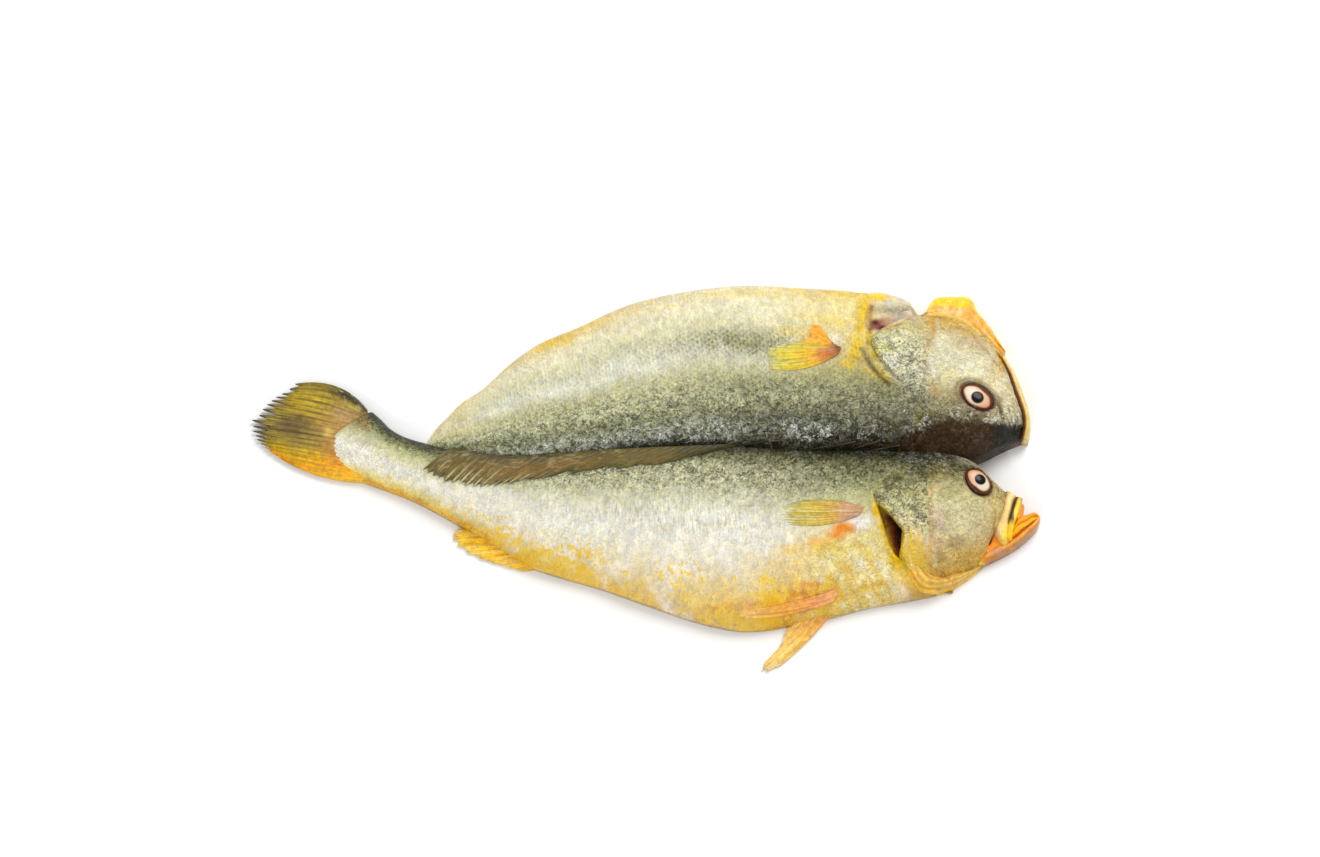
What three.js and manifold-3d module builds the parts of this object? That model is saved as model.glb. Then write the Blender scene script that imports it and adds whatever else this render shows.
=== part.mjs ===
// A salted yellow croaker, opened along the belly and spread flat with its skin side up.
// The back runs along the middle; a flank, half a head and an eye lie on either side of it.
// The near half (towards -Y) keeps the tail, the far half tapers to a point before it.
// Millimetres, +Z up, +X towards the heads. The origin lies under the middle of the fish,
// on the surface it rests on.
import * as THREE from "three";
import { mergeVertices } from "three/addons/utils/BufferGeometryUtils.js";
import Module from "manifold-3d";

const wasm = await Module();
wasm.setup();

// ---- driving sizes ----
const nearThickness = 18.5; // thickest place of the near flank
const farThickness = 23; // thickest place of the far flank, rolled up along the back
const gap = 0.3; // between an eye and its socket
const sunk = 0.6; // how far a fin that lies on the skin reaches into it

// ---- small helpers ----
const clamp01 = (t) => Math.min(1, Math.max(0, t));
const smooth = (from, to, x) => {
  const t = clamp01((x - from) / (to - from));
  return t * t * (3 - 2 * t);
};
const mix = (a, b, t) => a + (b - a) * t;

// A smooth function through [place, value] pairs, flat beyond its ends.
function table(pairs) {
  const slope = pairs.map((_, i) => {
    const [x0, y0] = pairs[Math.max(i - 1, 0)];
    const [x1, y1] = pairs[Math.min(i + 1, pairs.length - 1)];
    return (y1 - y0) / (x1 - x0);
  });
  return (x) => {
    if (x <= pairs[0][0]) return pairs[0][1];
    if (x >= pairs.at(-1)[0]) return pairs.at(-1)[1];
    const i = pairs.findIndex(([place]) => place > x) - 1;
    const [[x0, y0], [x1, y1]] = [pairs[i], pairs[i + 1]];
    const w = x1 - x0;
    const t = (x - x0) / w;
    const bend = (1 - t) * (1 - t) * t * w * slope[i] - (1 - t) * t * t * w * slope[i + 1];
    return y0 * (1 + 2 * t) * (1 - t) * (1 - t) + y1 * t * t * (3 - 2 * t) + bend;
  };
}

// A plan curve through [x, y] points, read by its share of the length.
function curve(points) {
  const line = new THREE.CatmullRomCurve3(points.map(([x, y]) => new THREE.Vector3(x, y, 0)));
  line.arcLengthDivisions = 400;
  return (share) => line.getPointAt(clamp01(share));
}

// ---- outlines of the two halves, seen from above ----
const near = {
  back: curve([
    [-114.5, 33], [-107, 27.5], [-101.5, 22.5], [-96, 17], [-90, 13.5], [-83.5, 11.5], [-70, 7],
    [-55, 4.5], [-32, 5], [-2, 7], [28.5, 8.5], [58.5, 7], [81, 7], [104, 6], [119, 4],
    [126, 1], [130.5, -4], [134.5, -7], [138, -10.5],
  ]),
  belly: curve([
    [-114.5, -0.5], [-106.5, -3.5], [-97, -7], [-88.5, -10.5], [-79, -15.5], [-64, -24.5],
    [-53, -31.5], [-43.5, -37], [-32, -41], [-17, -45.5], [-2, -51], [13, -56.5], [24.5, -60],
    [35.5, -62], [46.5, -61.5], [58, -59], [71, -56.5], [83.5, -53], [97.5, -50.5],
    [110.5, -47.5], [120.5, -42], [127.5, -36.5],
  ]),
  front: table([[-37, 127.5], [-31.5, 128.5], [-26, 130.5], [-20.5, 134.5], [-16, 137], [-10.5, 138]]),
  backAt: table([
    [-120, 36], [-107, 27.5], [-96, 17], [-83.5, 11.5], [-70, 7], [-55, 4.5], [-32, 5], [-2, 7],
    [28.5, 8.5], [58.5, 7], [104, 6], [119, 4], [126, 1], [130.5, -4], [138, -10.5],
  ]),
  bellyAt: table([
    [-120, 1], [-106.5, -3.5], [-88.5, -10.5], [-64, -24.5], [-43.5, -37], [-17, -45.5],
    [13, -56.5], [35.5, -62], [58, -59], [83.5, -53], [110.5, -47.5], [127.5, -38], [138, -33],
  ]),
  thickness: table([
    [-120, 0.16], [-112, 0.32], [-104, 0.44], [-80, 0.56], [-60, 0.67], [-30, 0.84], [0, 0.95], [40, 1],
    [75, 0.97], [100, 0.98], [118, 0.9], [130, 0.74], [140, 0.6],
  ]),
  ridge: table([[-120, 0.5], [-92, 0.48], [-60, 0.3], [-30, 0.24], [90, 0.24], [116, 0.16], [138, 0.14]]),
  backShare: table([[-120, 0.12], [-92, 0.14], [-78, 0.4], [-60, 0.6], [110, 0.6], [124, 0.5], [138, 0.4]]),
  edgeShare: 0.1,
  fullness: [2.2, 2],
  most: nearThickness,
};
const far = {
  back: curve([
    [-84, 9], [-70, 3.5], [-55, 0], [-32, 0.5], [-2, 3], [28.5, 4.5], [58.5, 3.2], [81, 3],
    [104, 2.5], [118, 2], [124, 2.5], [128.5, 4], [134, 6.5], [138, 8.5], [142.5, 10.5],
  ]),
  belly: curve([
    [-84, 12], [-80, 18.5], [-75.5, 23.5], [-71, 28.5], [-62, 35], [-53, 44], [-43.5, 51.5],
    [-34.5, 56], [-25.5, 60], [-7, 69], [12, 74], [36.5, 77], [60, 76], [79.5, 74.5],
    [96, 72], [103, 66.5], [106, 63.5], [113, 66], [121.5, 65.5], [128, 63.5], [133, 58], [136.5, 49],
  ]),
  front: table([[10.5, 143], [17, 144], [23, 143.5], [29.5, 141.5], [35.5, 140], [41.5, 138.5], [49, 136.5]]),
  backAt: table([
    [-84, 9], [-70, 3.5], [-55, 0], [-32, 0.5], [-2, 3], [28.5, 4.5], [58.5, 3.2], [104, 2.5],
    [118, 2], [128.5, 4], [142.5, 10.5],
  ]),
  bellyAt: table([
    [-84, 12], [-75.5, 23.5], [-62, 35], [-43.5, 51.5], [-25.5, 60], [-7, 69], [12, 74],
    [36.5, 77], [60, 76], [79.5, 74.5], [96, 71], [113, 67], [128, 64], [143, 57],
  ]),
  thickness: table([
    [-84, 0.2], [-70, 0.38], [-50, 0.58], [-20, 0.76], [20, 0.9], [60, 0.97], [95, 1],
    [115, 0.97], [130, 0.84], [143, 0.7],
  ]),
  ridge: table([[-84, 0.3], [-60, 0.16], [-30, 0.14], [60, 0.16], [100, 0.22], [130, 0.26]]),
  backShare: table([[-84, 0.3], [-60, 0.24], [120, 0.24], [132, 0.3]]),
  edgeShare: 0.1,
  fullness: [1.7, 1.5],
  most: farThickness,
};

// Lines across each head, as x at a given y: the rear edge of the gill cover, the groove
// across the cheek in front of it, and the rim of the body behind the gill opening.
const gillCover = {
  near: table([
    [-48, 106.5], [-45.5, 102], [-41, 97.5], [-35.5, 95], [-30.5, 96], [-27, 95.5], [-24, 93.5],
    [-20.5, 90.5], [-17.5, 87], [-13.5, 85.5], [-9.5, 88.5], [-6, 91], [-2.5, 97.5],
  ]),
  far: table([
    [28, 97.5], [34.5, 92.5], [37.5, 90], [42, 87.5], [46, 86], [50, 86.5], [53.5, 90], [57.5, 96],
    [62, 102.5],
  ]),
};
const cheekGroove = {
  near: table([[-44.5, 116], [-43, 111], [-39.5, 107.5], [-31.5, 106], [-23, 108.5], [-9, 108.5]]),
  far: table([[29, 106.5], [36.5, 106], [44, 108.5], [51.5, 109], [60, 110.5], [66, 113]]),
};
const gillRim = {
  near: table([[-38, 94.2], [-34.5, 92], [-28, 89.5], [-20, 87.2], [-17, 86]]),
  far: table([[52, 84.5], [56, 84], [62, 84.5], [67, 86]]),
};
const gillCoverHeight = 1.8;
const cheekGrooveDepth = 1;

// How far the groove behind the cheek sinks into the head at (x, y).
function cheekRelief(side, x, y) {
  const fade = side === "near" ? smooth(2, -9, y) * smooth(-50, -45, y) : smooth(22, 34, y);
  return cheekGrooveDepth * fade * Math.exp(-(((x - cheekGroove[side](y)) / 2) ** 2));
}

// Height of the skin above the table at (x, y).
function skinHeight(half, side, x, y) {
  const across = clamp01((half.backAt(x) - y) / (half.backAt(x) - half.bellyAt(x)));
  const ridge = half.ridge(x);
  const [p, q] = half.fullness;
  let share;
  if (across < ridge) {
    const t = 1 - across / ridge;
    share = mix(half.backShare(x), 1, Math.sqrt(1 - t * t));
  } else {
    const t = (across - ridge) / (1 - ridge);
    share = mix(half.edgeShare, 1, (1 - t ** p) ** (1 / q));
  }
  const toFront = clamp01((half.front(y) - x) / 12);
  const round = mix(0.4, 1, Math.sqrt(1 - (1 - toFront) ** 2));
  return half.most * half.thickness(x) * share * round - cheekRelief(side, x, y);
}

// ---- solids ----
// A closed sheet over the unit square: place(u, v) gives [x, y, top, bottom].
// A flat underside needs only long strips from one edge to the other.
function sheet(place, nu, nv, flat = false) {
  const positions = [];
  const index = [];
  const at = (i, j, below) => (below * (nv + 1) + j) * (nu + 1) + i;
  for (const below of [0, 1])
    for (let j = 0; j <= nv; j++)
      for (let i = 0; i <= nu; i++) {
        const [x, y, top, bottom] = place(i / nu, j / nv);
        positions.push(x, y, below ? bottom : top);
      }
  const quad = (a, b, c, d) => index.push(a, b, c, a, c, d);
  for (let i = 0; i < nu; i++) {
    for (let j = 0; j < nv; j++) {
      quad(at(i, j, 0), at(i, j + 1, 0), at(i + 1, j + 1, 0), at(i + 1, j, 0));
      if (!flat) quad(at(i, j, 1), at(i + 1, j, 1), at(i + 1, j + 1, 1), at(i, j + 1, 1));
    }
    if (flat && i > 0 && i < nu - 1) quad(at(i, 0, 1), at(i + 1, 0, 1), at(i + 1, nv, 1), at(i, nv, 1));
    quad(at(i, 0, 0), at(i + 1, 0, 0), at(i + 1, 0, 1), at(i, 0, 1));
    quad(at(i + 1, nv, 0), at(i, nv, 0), at(i, nv, 1), at(i + 1, nv, 1));
  }
  for (let j = 0; j < nv; j++) {
    quad(at(0, j + 1, 0), at(0, j, 0), at(0, j, 1), at(0, j + 1, 1));
    quad(at(nu, j, 0), at(nu, j + 1, 0), at(nu, j + 1, 1), at(nu, j, 1));
    if (flat) index.push(at(0, j, 1), at(1, 0, 1), at(0, j + 1, 1));
    if (flat) index.push(at(nu, j, 1), at(nu, j + 1, 1), at(nu - 1, 0, 1));
  }
  if (flat) index.push(at(1, 0, 1), at(1, nv, 1), at(0, nv, 1));
  if (flat) index.push(at(nu - 1, 0, 1), at(nu, nv, 1), at(nu - 1, nv, 1));
  return solid(positions, index);
}

function solid(positions, index) {
  const made = new wasm.Manifold(
    new wasm.Mesh({
      numProp: 3,
      vertProperties: new Float32Array(positions),
      triVerts: new Uint32Array(index),
    }),
  );
  if (made.volume() >= 0) return made;
  const turned = index.map((_, k) => index[k - (k % 3) + (2 - (k % 3))]);
  return solid(positions, turned);
}

// One half of the fish: its skin above, flat flesh below. Its rows close up towards the head.
function halfFish(half, side, nu, nv, headShare) {
  const [noseBack, noseBelly] = [half.back(1), half.belly(1)];
  return sheet(
    (a, v) => {
      const u = mix(a, 1 - (1 - a) ** 1.7, headShare);
      const [b, l] = [half.back(u), half.belly(u)];
      const y = mix(b.y, l.y, v);
      const straight = mix(noseBack.x, noseBelly.x, (y - noseBack.y) / (noseBelly.y - noseBack.y));
      const x = mix(b.x, l.x, v) + (half.front(y) - straight) * smooth(0.86, 1, u);
      return [x, y, skinHeight(half, side, x, y), 0];
    },
    nu,
    nv,
    true,
  );
}

// A fin: rays run from its base line to its tip line over the ground given by ground(x, y).
function fin({ base, tip, ground, root, end, rays, rows, notch = 0, below = sunk }) {
  const [from, to] = [curve(base), curve(tip)];
  return sheet(
    (a, r) => {
      const ray = Math.abs(Math.cos(a * rays * Math.PI));
      const reach = r * (1 - notch * (1 - ray));
      const [b, t] = [from(a), to(a)];
      const [x, y] = [mix(b.x, t.x, reach), mix(b.y, t.y, reach)];
      const z = ground(x, y);
      return [x, y, z + mix(root(a), end, r), Math.max(z - below * (1 - r), 0)];
    },
    2 * rays,
    rows,
  );
}

const nearSkin = (x, y) => skinHeight(near, "near", x, y);
const farSkin = (x, y) => skinHeight(far, "far", x, y);

// An egg-shaped solid with half axes given, used for an eye and for its socket.
function egg([x, y, z], [rx, ry, rz], turn, lean) {
  const shape = new THREE.SphereGeometry(1, 16, 10);
  shape.scale(rx, ry, rz);
  shape.rotateZ(turn);
  shape.rotateX(lean);
  shape.translate(x, y, z);
  shape.deleteAttribute("normal");
  shape.deleteAttribute("uv");
  const merged = mergeVertices(shape, 1e-4);
  return solid(Array.from(merged.attributes.position.array), Array.from(merged.index.array));
}

const eyes = {
  eye_near: { centre: [125, -7.7, nearSkin(125, -7.7) - 0.8], axes: [5.7, 4.4, 2.8], turn: -0.9, lean: 0 },
  eye_far: { centre: [125.4, 24.5, farSkin(125.4, 24.5) - 0.8], axes: [6.5, 4.7, 2.8], turn: -0.58, lean: 0.1 },
};

const tailFin = fin({
  base: [[-112.5, 32.6], [-111.5, 24], [-111.5, 10], [-111.5, -0.2]],
  tip: [[-134.5, 36.2], [-142, 30], [-149.3, 21], [-146, 13.5], [-138.5, 6.5], [-129, 1.2]],
  ground: () => 0.9,
  root: (a) => 0.9 + 3.2 * Math.sin(Math.PI * a) ** 0.6,
  end: 0.9,
  rays: 9,
  rows: 5,
  notch: 0.03,
  below: 0.4,
});
const tailCorner = fin({
  base: [[-113, 31], [-120, 32], [-127, 33], [-133, 34]],
  tip: [[-114.5, 33.6], [-120, 36], [-127, 35.9], [-134.4, 36.2]],
  ground: () => 0.9,
  root: () => 1.2,
  end: 0.9,
  rays: 3,
  rows: 1,
  below: 0.4,
});
const analFin = fin({
  base: [[-59, -23], [-53, -28], [-46, -34.5], [-41, -37.5]],
  tip: [[-71.5, -21.5], [-72.5, -27.5], [-66, -31.5], [-57.5, -35.5]],
  ground: () => 0.5,
  root: () => 2.4,
  end: 0.9,
  rays: 5,
  rows: 3,
  notch: 0.06,
  below: 0.2,
});
const pelvicSplayed = fin({
  base: [[62, -54], [66, -53], [70.5, -53.5]],
  tip: [[52, -60.5], [51, -67.5], [45, -73], [44, -77]],
  ground: () => 0.5,
  root: () => 2.6,
  end: 0.9,
  rays: 4,
  rows: 6,
  below: 0.2,
});
const pelvicFolded = fin({
  base: [[70, -49.5], [70.5, -51.5], [69.5, -54]],
  tip: [[33.5, -54.5], [32.5, -56], [36, -57.5]],
  ground: nearSkin,
  root: () => 1.7,
  end: 0.8,
  rays: 2,
  rows: 7,
  below: 1.5,
});
const pectoralNear = fin({
  base: [[79, -17], [78.5, -19.5], [76.5, -22.5]],
  tip: [[54.5, -14.5], [52, -18.5], [53, -24]],
  ground: nearSkin,
  root: () => 1.9,
  end: 0.8,
  rays: 4,
  rows: 4,
  notch: 0.05,
});
const pectoralFar = fin({
  base: [[71.5, 49.5], [73, 46.5], [71.5, 43]],
  tip: [[55, 49.5], [47, 45], [51, 39.5]],
  ground: farSkin,
  root: () => 2.1,
  end: 0.8,
  rays: 4,
  rows: 4,
  notch: 0.05,
});
const dorsalFin = fin({
  base: [[-86, 9.5], [-70, 6], [-55, 3.5], [-32, 4.5], [-2, 6], [28, 6.5]],
  tip: [[-84, -0.5], [-78.5, -3.5], [-62.5, -8], [-54.5, -8], [-32, -4.5], [-2, -0.5], [28, 5]],
  ground: nearSkin,
  root: () => 2.2,
  end: 1,
  rays: 13,
  rows: 2,
  notch: 0.08,
});

// The gill cover: a thin plate that ends in a free edge behind and sinks into the cheek in front.
function gillPlate(side, ground, fromY, toY, nu) {
  return sheet(
    (u, v) => {
      const y = mix(fromY, toY, u);
      const x = mix(gillCover[side](y), cheekGroove[side](y) - 1, v);
      const ends = smooth(0, 0.15, u) * smooth(1, 0.85, u);
      const skin = ground(x, y);
      return [x, y, skin + gillCoverHeight * ends * (1 - smooth(0.3, 1, v)), skin - 1.5];
    },
    nu,
    4,
  );
}

// The gill opening: what is cut away between the rim of the body and the gill cover.
function gillOpening(side, ground, fromY, toY, frontAt, depth) {
  return sheet(
    (u, v) => {
      const y = mix(fromY, toY, u);
      const x = mix(gillRim[side](y), frontAt(y) + 0.4, v);
      const skin = ground(x, y);
      return [x, y, skin + 5, skin - depth * mix(0.5, 1, Math.sin(Math.PI * u))];
    },
    7,
    2,
  );
}

// Jaws and throat: ribbons between two lines, from bottom to top height.
function ribbon(outer, inner, top, bottom, nu, nv = 3) {
  const [o, i] = [curve(outer), curve(inner)];
  return sheet(
    (u, v) => {
      const [p, q] = [o(u), i(u)];
      const crown = Math.sqrt(1 - (1 - 2 * v) ** 2 * 0.75);
      return [mix(p.x, q.x, v), mix(p.y, q.y, v), top(u) * crown, bottom];
    },
    nu,
    nv,
  );
}
const upperJawNear = ribbon(
  [[139.5, -11.2], [140.5, -14.5], [138.5, -20], [136.5, -25], [134.5, -30]],
  [[134, -10], [133.5, -15], [131.5, -20], [129.5, -24.5], [130, -28.5]],
  table([[0, 9.5], [0.6, 8.5], [1, 7]]),
  0,
  8,
);
const upperLipNear = ribbon(
  [[142.5, -12.6], [141.2, -17], [139.5, -21.5], [137.5, -26], [136, -31]],
  [[140.8, -12.2], [138.8, -18], [137, -22], [135, -26], [133.5, -30]],
  table([[0, 7], [1, 6.4]]),
  0,
  8,
  2,
);
const lowerJawNear = ribbon(
  [[121, -40.4], [127.4, -36.8], [133.7, -33.5], [140.8, -29.3], [145.8, -24.8], [149, -19.8], [148, -17]],
  [[125, -33], [129, -30.5], [133, -27.5], [137, -23], [140.5, -19.5], [143.5, -17], [146, -16]],
  table([[0, 4], [0.5, 5.6], [1, 6]]),
  0,
  12,
);
const lowerJawFar = ribbon(
  [[136.2, 49.8], [139.6, 43.4], [142.8, 36.8], [145.2, 29.2], [146.8, 22], [146.9, 16.5], [146, 11.2]],
  [[132, 49], [136.5, 41], [138.5, 35.5], [140.3, 29.5], [142, 23], [142.5, 17], [141.5, 11.5]],
  table([[0, 6], [0.5, 10.5], [1, 10]]),
  0,
  12,
);
const chinFar = ribbon(
  [[110, 67], [112.5, 71.5], [120, 73], [126.5, 72], [129, 66.5], [132.5, 60], [137, 50]],
  [[108, 60], [112, 61], [118, 61], [123, 60], [127, 57], [130, 53], [133, 48]],
  table([[0, 5.5], [0.5, 5.5], [1, 8]]),
  0,
  12,
);
const throatFar = ribbon(
  [[86, 73.5], [92, 74], [98, 72.5], [103.2, 69.5], [103.5, 64]],
  [[84, 66], [89, 64], [94, 62], [99, 61.5], [102, 62]],
  table([[0, 4], [1, 4.5]]),
  0,
  8,
);

const pieces = [
  halfFish(near, "near", 64, 15, 0.55),
  halfFish(far, "far", 52, 14, 0.55),
  gillPlate("near", nearSkin, -47, -4, 14),
  gillPlate("far", farSkin, 29, 61, 11),
  tailFin,
  tailCorner,
  analFin,
  pelvicSplayed,
  pelvicFolded,
  pectoralNear,
  pectoralFar,
  dorsalFin,
  upperJawNear,
  upperLipNear,
  lowerJawNear,
  lowerJawFar,
  chinFar,
  throatFar,
];
let fish = pieces.reduce((whole, piece) => whole.add(piece));
fish = fish.subtract(gillOpening("near", nearSkin, -37, -17.5, gillCover.near, 6));
fish = fish.subtract(gillOpening("far", farSkin, 53, 66, table([[53, 89], [57, 94], [66, 91]]), 4));
for (const { centre, axes, turn, lean } of Object.values(eyes))
  fish = fish.subtract(egg(centre, axes.map((r) => r + gap), turn, lean));

// ---- scene graph ----
function mesh(name, made, material) {
  const { vertProperties, triVerts, numProp } = made.getMesh();
  const positions = new Float32Array((vertProperties.length / numProp) * 3);
  for (let i = 0; i < positions.length / 3; i++)
    positions.set(vertProperties.subarray(i * numProp, i * numProp + 3), i * 3);
  const geometry = new THREE.BufferGeometry();
  geometry.setAttribute("position", new THREE.BufferAttribute(positions, 3));
  geometry.setIndex(new THREE.BufferAttribute(triVerts, 1));
  geometry.computeVertexNormals();
  const made3 = new THREE.Mesh(geometry, material);
  made3.name = name;
  return made3;
}

const skin = new THREE.MeshStandardMaterial({ color: 0xd9d2a4, roughness: 0.4, metalness: 0 });
const eyeball = new THREE.MeshStandardMaterial({ color: 0xe6cdb4, roughness: 0.12, metalness: 0 });

const croaker = new THREE.Group();
croaker.add(mesh("split_fish", fish, skin));
for (const [name, { centre, axes, turn, lean }] of Object.entries(eyes))
  croaker.add(mesh(name, egg(centre, axes, turn, lean), eyeball));

export default croaker;
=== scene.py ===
import math
import bpy
import numpy as np
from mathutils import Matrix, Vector


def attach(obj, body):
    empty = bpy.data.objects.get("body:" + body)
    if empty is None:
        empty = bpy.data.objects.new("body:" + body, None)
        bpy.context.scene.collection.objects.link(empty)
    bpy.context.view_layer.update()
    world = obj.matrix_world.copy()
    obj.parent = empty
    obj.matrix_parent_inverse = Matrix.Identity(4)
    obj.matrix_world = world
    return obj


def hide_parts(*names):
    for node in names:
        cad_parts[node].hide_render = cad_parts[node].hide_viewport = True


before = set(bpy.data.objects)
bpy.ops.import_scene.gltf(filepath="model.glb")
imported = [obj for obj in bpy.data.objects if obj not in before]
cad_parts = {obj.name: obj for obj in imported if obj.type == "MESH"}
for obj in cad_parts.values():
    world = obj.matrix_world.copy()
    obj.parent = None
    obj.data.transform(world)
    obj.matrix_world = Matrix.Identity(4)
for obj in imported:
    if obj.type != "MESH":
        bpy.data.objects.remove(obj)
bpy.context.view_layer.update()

mm = 0.001  # shapes below are worked out in millimetres


def smooth(low, high, x):
    # 0 below low, 1 above high, an S curve between
    t = np.clip((np.asarray(x, float) - low) / (high - low), 0, 1)
    return t * t * (3 - 2 * t)


def mix(a, b, t):
    # a at t = 0, b at t = 1, a straight line between
    return a + (b - a) * t


def bump(centre, width, x):
    # a bell of height 1 about centre
    return np.exp(-(((np.asarray(x, float) - centre) / width) ** 2))


def table(*pairs):
    # a smooth function through (place, value) pairs: cubic pieces whose slopes come from the neighbours
    xs, ys = (np.array(column, float) for column in zip(*pairs))
    last = len(xs) - 1
    before, after = np.maximum(np.arange(len(xs)) - 1, 0), np.minimum(np.arange(len(xs)) + 1, last)
    slope = (ys[after] - ys[before]) / (xs[after] - xs[before])

    def value(x):
        x = np.clip(np.asarray(x, float), xs[0], xs[-1])
        i = np.clip(np.searchsorted(xs, x, side="right") - 1, 0, last - 1)
        w = xs[i + 1] - xs[i]
        t = (x - xs[i]) / w
        bend = (1 - t) ** 2 * t * w * slope[i] - (1 - t) * t * t * w * slope[i + 1]
        return ys[i] * (1 + 2 * t) * (1 - t) ** 2 + ys[i + 1] * t * t * (3 - 2 * t) + bend

    return value


def curve(points):
    # a plan curve through points (centripetal Catmull-Rom), read by its share of the length
    p = np.array(points, float)
    p = np.vstack([2 * p[0] - p[1], p, 2 * p[-1] - p[-2]])
    t = np.linspace(0, 1, 60, endpoint=False)[:, None]
    lines = []
    for a, b, c, d in zip(p, p[1:], p[2:], p[3:]):
        k0, k1, k2 = (np.linalg.norm(q - r) ** 0.5 for q, r in ((b, a), (c, b), (d, c)))
        m1 = ((b - a) / k0 - (c - a) / (k0 + k1) + (c - b) / k1) * k1
        m2 = ((c - b) / k1 - (d - b) / (k1 + k2) + (d - c) / k2) * k1
        lines.append(b * (1 + 2 * t) * (1 - t) ** 2 + m1 * t * (1 - t) ** 2 + c * t * t * (3 - 2 * t)
            - m2 * t * t * (1 - t))
    line = np.vstack(lines + [p[-2:-1]])
    run = np.concatenate([[0], np.cumsum(np.linalg.norm(np.diff(line, axis=0), axis=1))])
    return lambda share: np.stack([np.interp(np.asarray(share) * run[-1], run, line[:, k]) for k in (0, 1)],
        -1)


def noise(x, y, size, seed=0):
    # smooth random heights from -1 to 1 on a square lattice of the given size in mm
    x, y = np.asarray(x, float) / size + 31.7 * seed, np.asarray(y, float) / size - 17.3 * seed
    i, j = np.floor(x), np.floor(y)
    u, v = x - i, y - j
    u, v = u * u * (3 - 2 * u), v * v * (3 - 2 * v)

    def corner(p, q):
        s = np.sin(p * 127.1 + q * 311.7) * 43758.5453
        return 2 * (s - np.floor(s)) - 1

    return mix(mix(corner(i, j), corner(i + 1, j), u), mix(corner(i, j + 1), corner(i + 1, j + 1), u), v)


def cloud(x, y, size, seed=0):
    # three octaves of noise
    return ((noise(x, y, size, seed) + 0.5 * noise(x, y, size / 2, seed + 1)
        + 0.25 * noise(x, y, size / 4, seed + 2)) / 1.4)


glossLight = 0.018  # light that the wet coat adds to every colour, taken off beforehand


def tint(r, g, b):
    # a colour as it should look on the screen, 0 to 255, made the skin's own colour in linear light
    c = np.array([r, g, b], float) / 255
    c = np.where(c <= 0.04045, c / 12.92, ((c + 0.055) / 1.055) ** 2.4)
    return c * (1 - glossLight / (c + glossLight))


def blendTo(colour, other, amount):
    # mix of two colours by an amount that is kept from 0 to 1
    return colour + (other - colour) * np.clip(amount, 0, 1)[..., None]


def ramp(stops, x):
    # colours at places, joined by straight lines
    places = [place for place, _ in stops]
    return np.stack([np.interp(x, places, [colour[k] for _, colour in stops]) for k in range(3)], -1)


def toLine(x, y, points):
    # distance to a broken line, and the share of the line passed at its nearest place
    p = np.array(points, float)
    steps = np.linalg.norm(np.diff(p, axis=0), axis=1)
    run = np.concatenate([[0], np.cumsum(steps)])
    best, share = np.full(np.shape(x), 1e9), np.zeros(np.shape(x))
    for a, b, step, start in zip(p, p[1:], steps, run):
        t = np.clip(((x - a[0]) * (b[0] - a[0]) + (y - a[1]) * (b[1] - a[1])) / step ** 2, 0, 1)
        d = np.hypot(x - a[0] - t * (b[0] - a[0]), y - a[1] - t * (b[1] - a[1]))
        nearer = d < best
        best = np.where(nearer, d, best)
        share = np.where(nearer, (start + t * step) / run[-1], share)
    return best, share


def paintLines(tone, x, y, lines):
    # each line: colour, half width, strength, points; soft, ragged and broken here and there
    for number, (colour, width, strength, points) in enumerate(lines):
        d = toLine(x, y, points)[0] + 0.45 * width * cloud(x, y, 2.2, 90 + number)
        broken = mix(0.55, 1, smooth(-0.5, 0.2, cloud(x, y, 3.5, 91 + number)))
        tone = blendTo(tone, colour, strength * broken * smooth(1.5 * width, 0.1 * width, d))
    return tone


def paintSpots(tone, x, y, spots):
    # each spot: colour, strength, centre, radius along x and y; soft and ragged
    for number, (colour, strength, cx, cy, rx, ry) in enumerate(spots):
        d = np.hypot((x - cx) / rx, (y - cy) / ry) + 0.55 * cloud(x, y, 3.4, 120 + number)
        tone = blendTo(tone, colour, strength * smooth(1.4, 0.2, d))
    return tone


def makePiece(name, points, faces, material, tone=None, marks=None, uv=None, touch=None):
    # mesh from arrays: points in mm, faces as an (n, 4) or (n, 3) array or a list of both
    mesh = bpy.data.meshes.new(name)
    groups = faces if isinstance(faces, list) else [faces]
    sizes = np.concatenate([np.full(len(g), g.shape[1]) for g in groups])
    corners = np.concatenate([g.ravel() for g in groups])
    mesh.vertices.add(len(points))
    mesh.loops.add(len(corners))
    mesh.polygons.add(len(sizes))
    mesh.vertices.foreach_set("co", (np.asarray(points, float) * mm).ravel())
    mesh.loops.foreach_set("vertex_index", corners.astype(np.int32))
    mesh.polygons.foreach_set("loop_start", np.concatenate([[0], np.cumsum(sizes)[:-1]]).astype(np.int32))
    mesh.polygons.foreach_set("loop_total", sizes.astype(np.int32))
    if tone is not None:
        layer = mesh.attributes.new("tone", "FLOAT_COLOR", "POINT")
        layer.data.foreach_set("color", np.hstack([tone, np.ones((len(tone), 1))]).astype(np.float32).ravel())
    for layerName, vectors in (("marks", marks), ("touch", touch)):
        if vectors is not None:
            layer = mesh.attributes.new(layerName, "FLOAT_VECTOR", "POINT")
            layer.data.foreach_set("vector", vectors.astype(np.float32).ravel())
    if uv is not None:
        layer = mesh.uv_layers.new(name="lattice")
        layer.data.foreach_set("uv", uv[corners].astype(np.float32).ravel())
    mesh.polygons.foreach_set("use_smooth", np.full(len(sizes), True))
    mesh.update(calc_edges=True)
    mesh.validate()
    mesh.materials.append(material)
    piece = bpy.data.objects.new(name, mesh)
    bpy.context.scene.collection.objects.link(piece)
    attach(piece, "root")
    return piece


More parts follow.
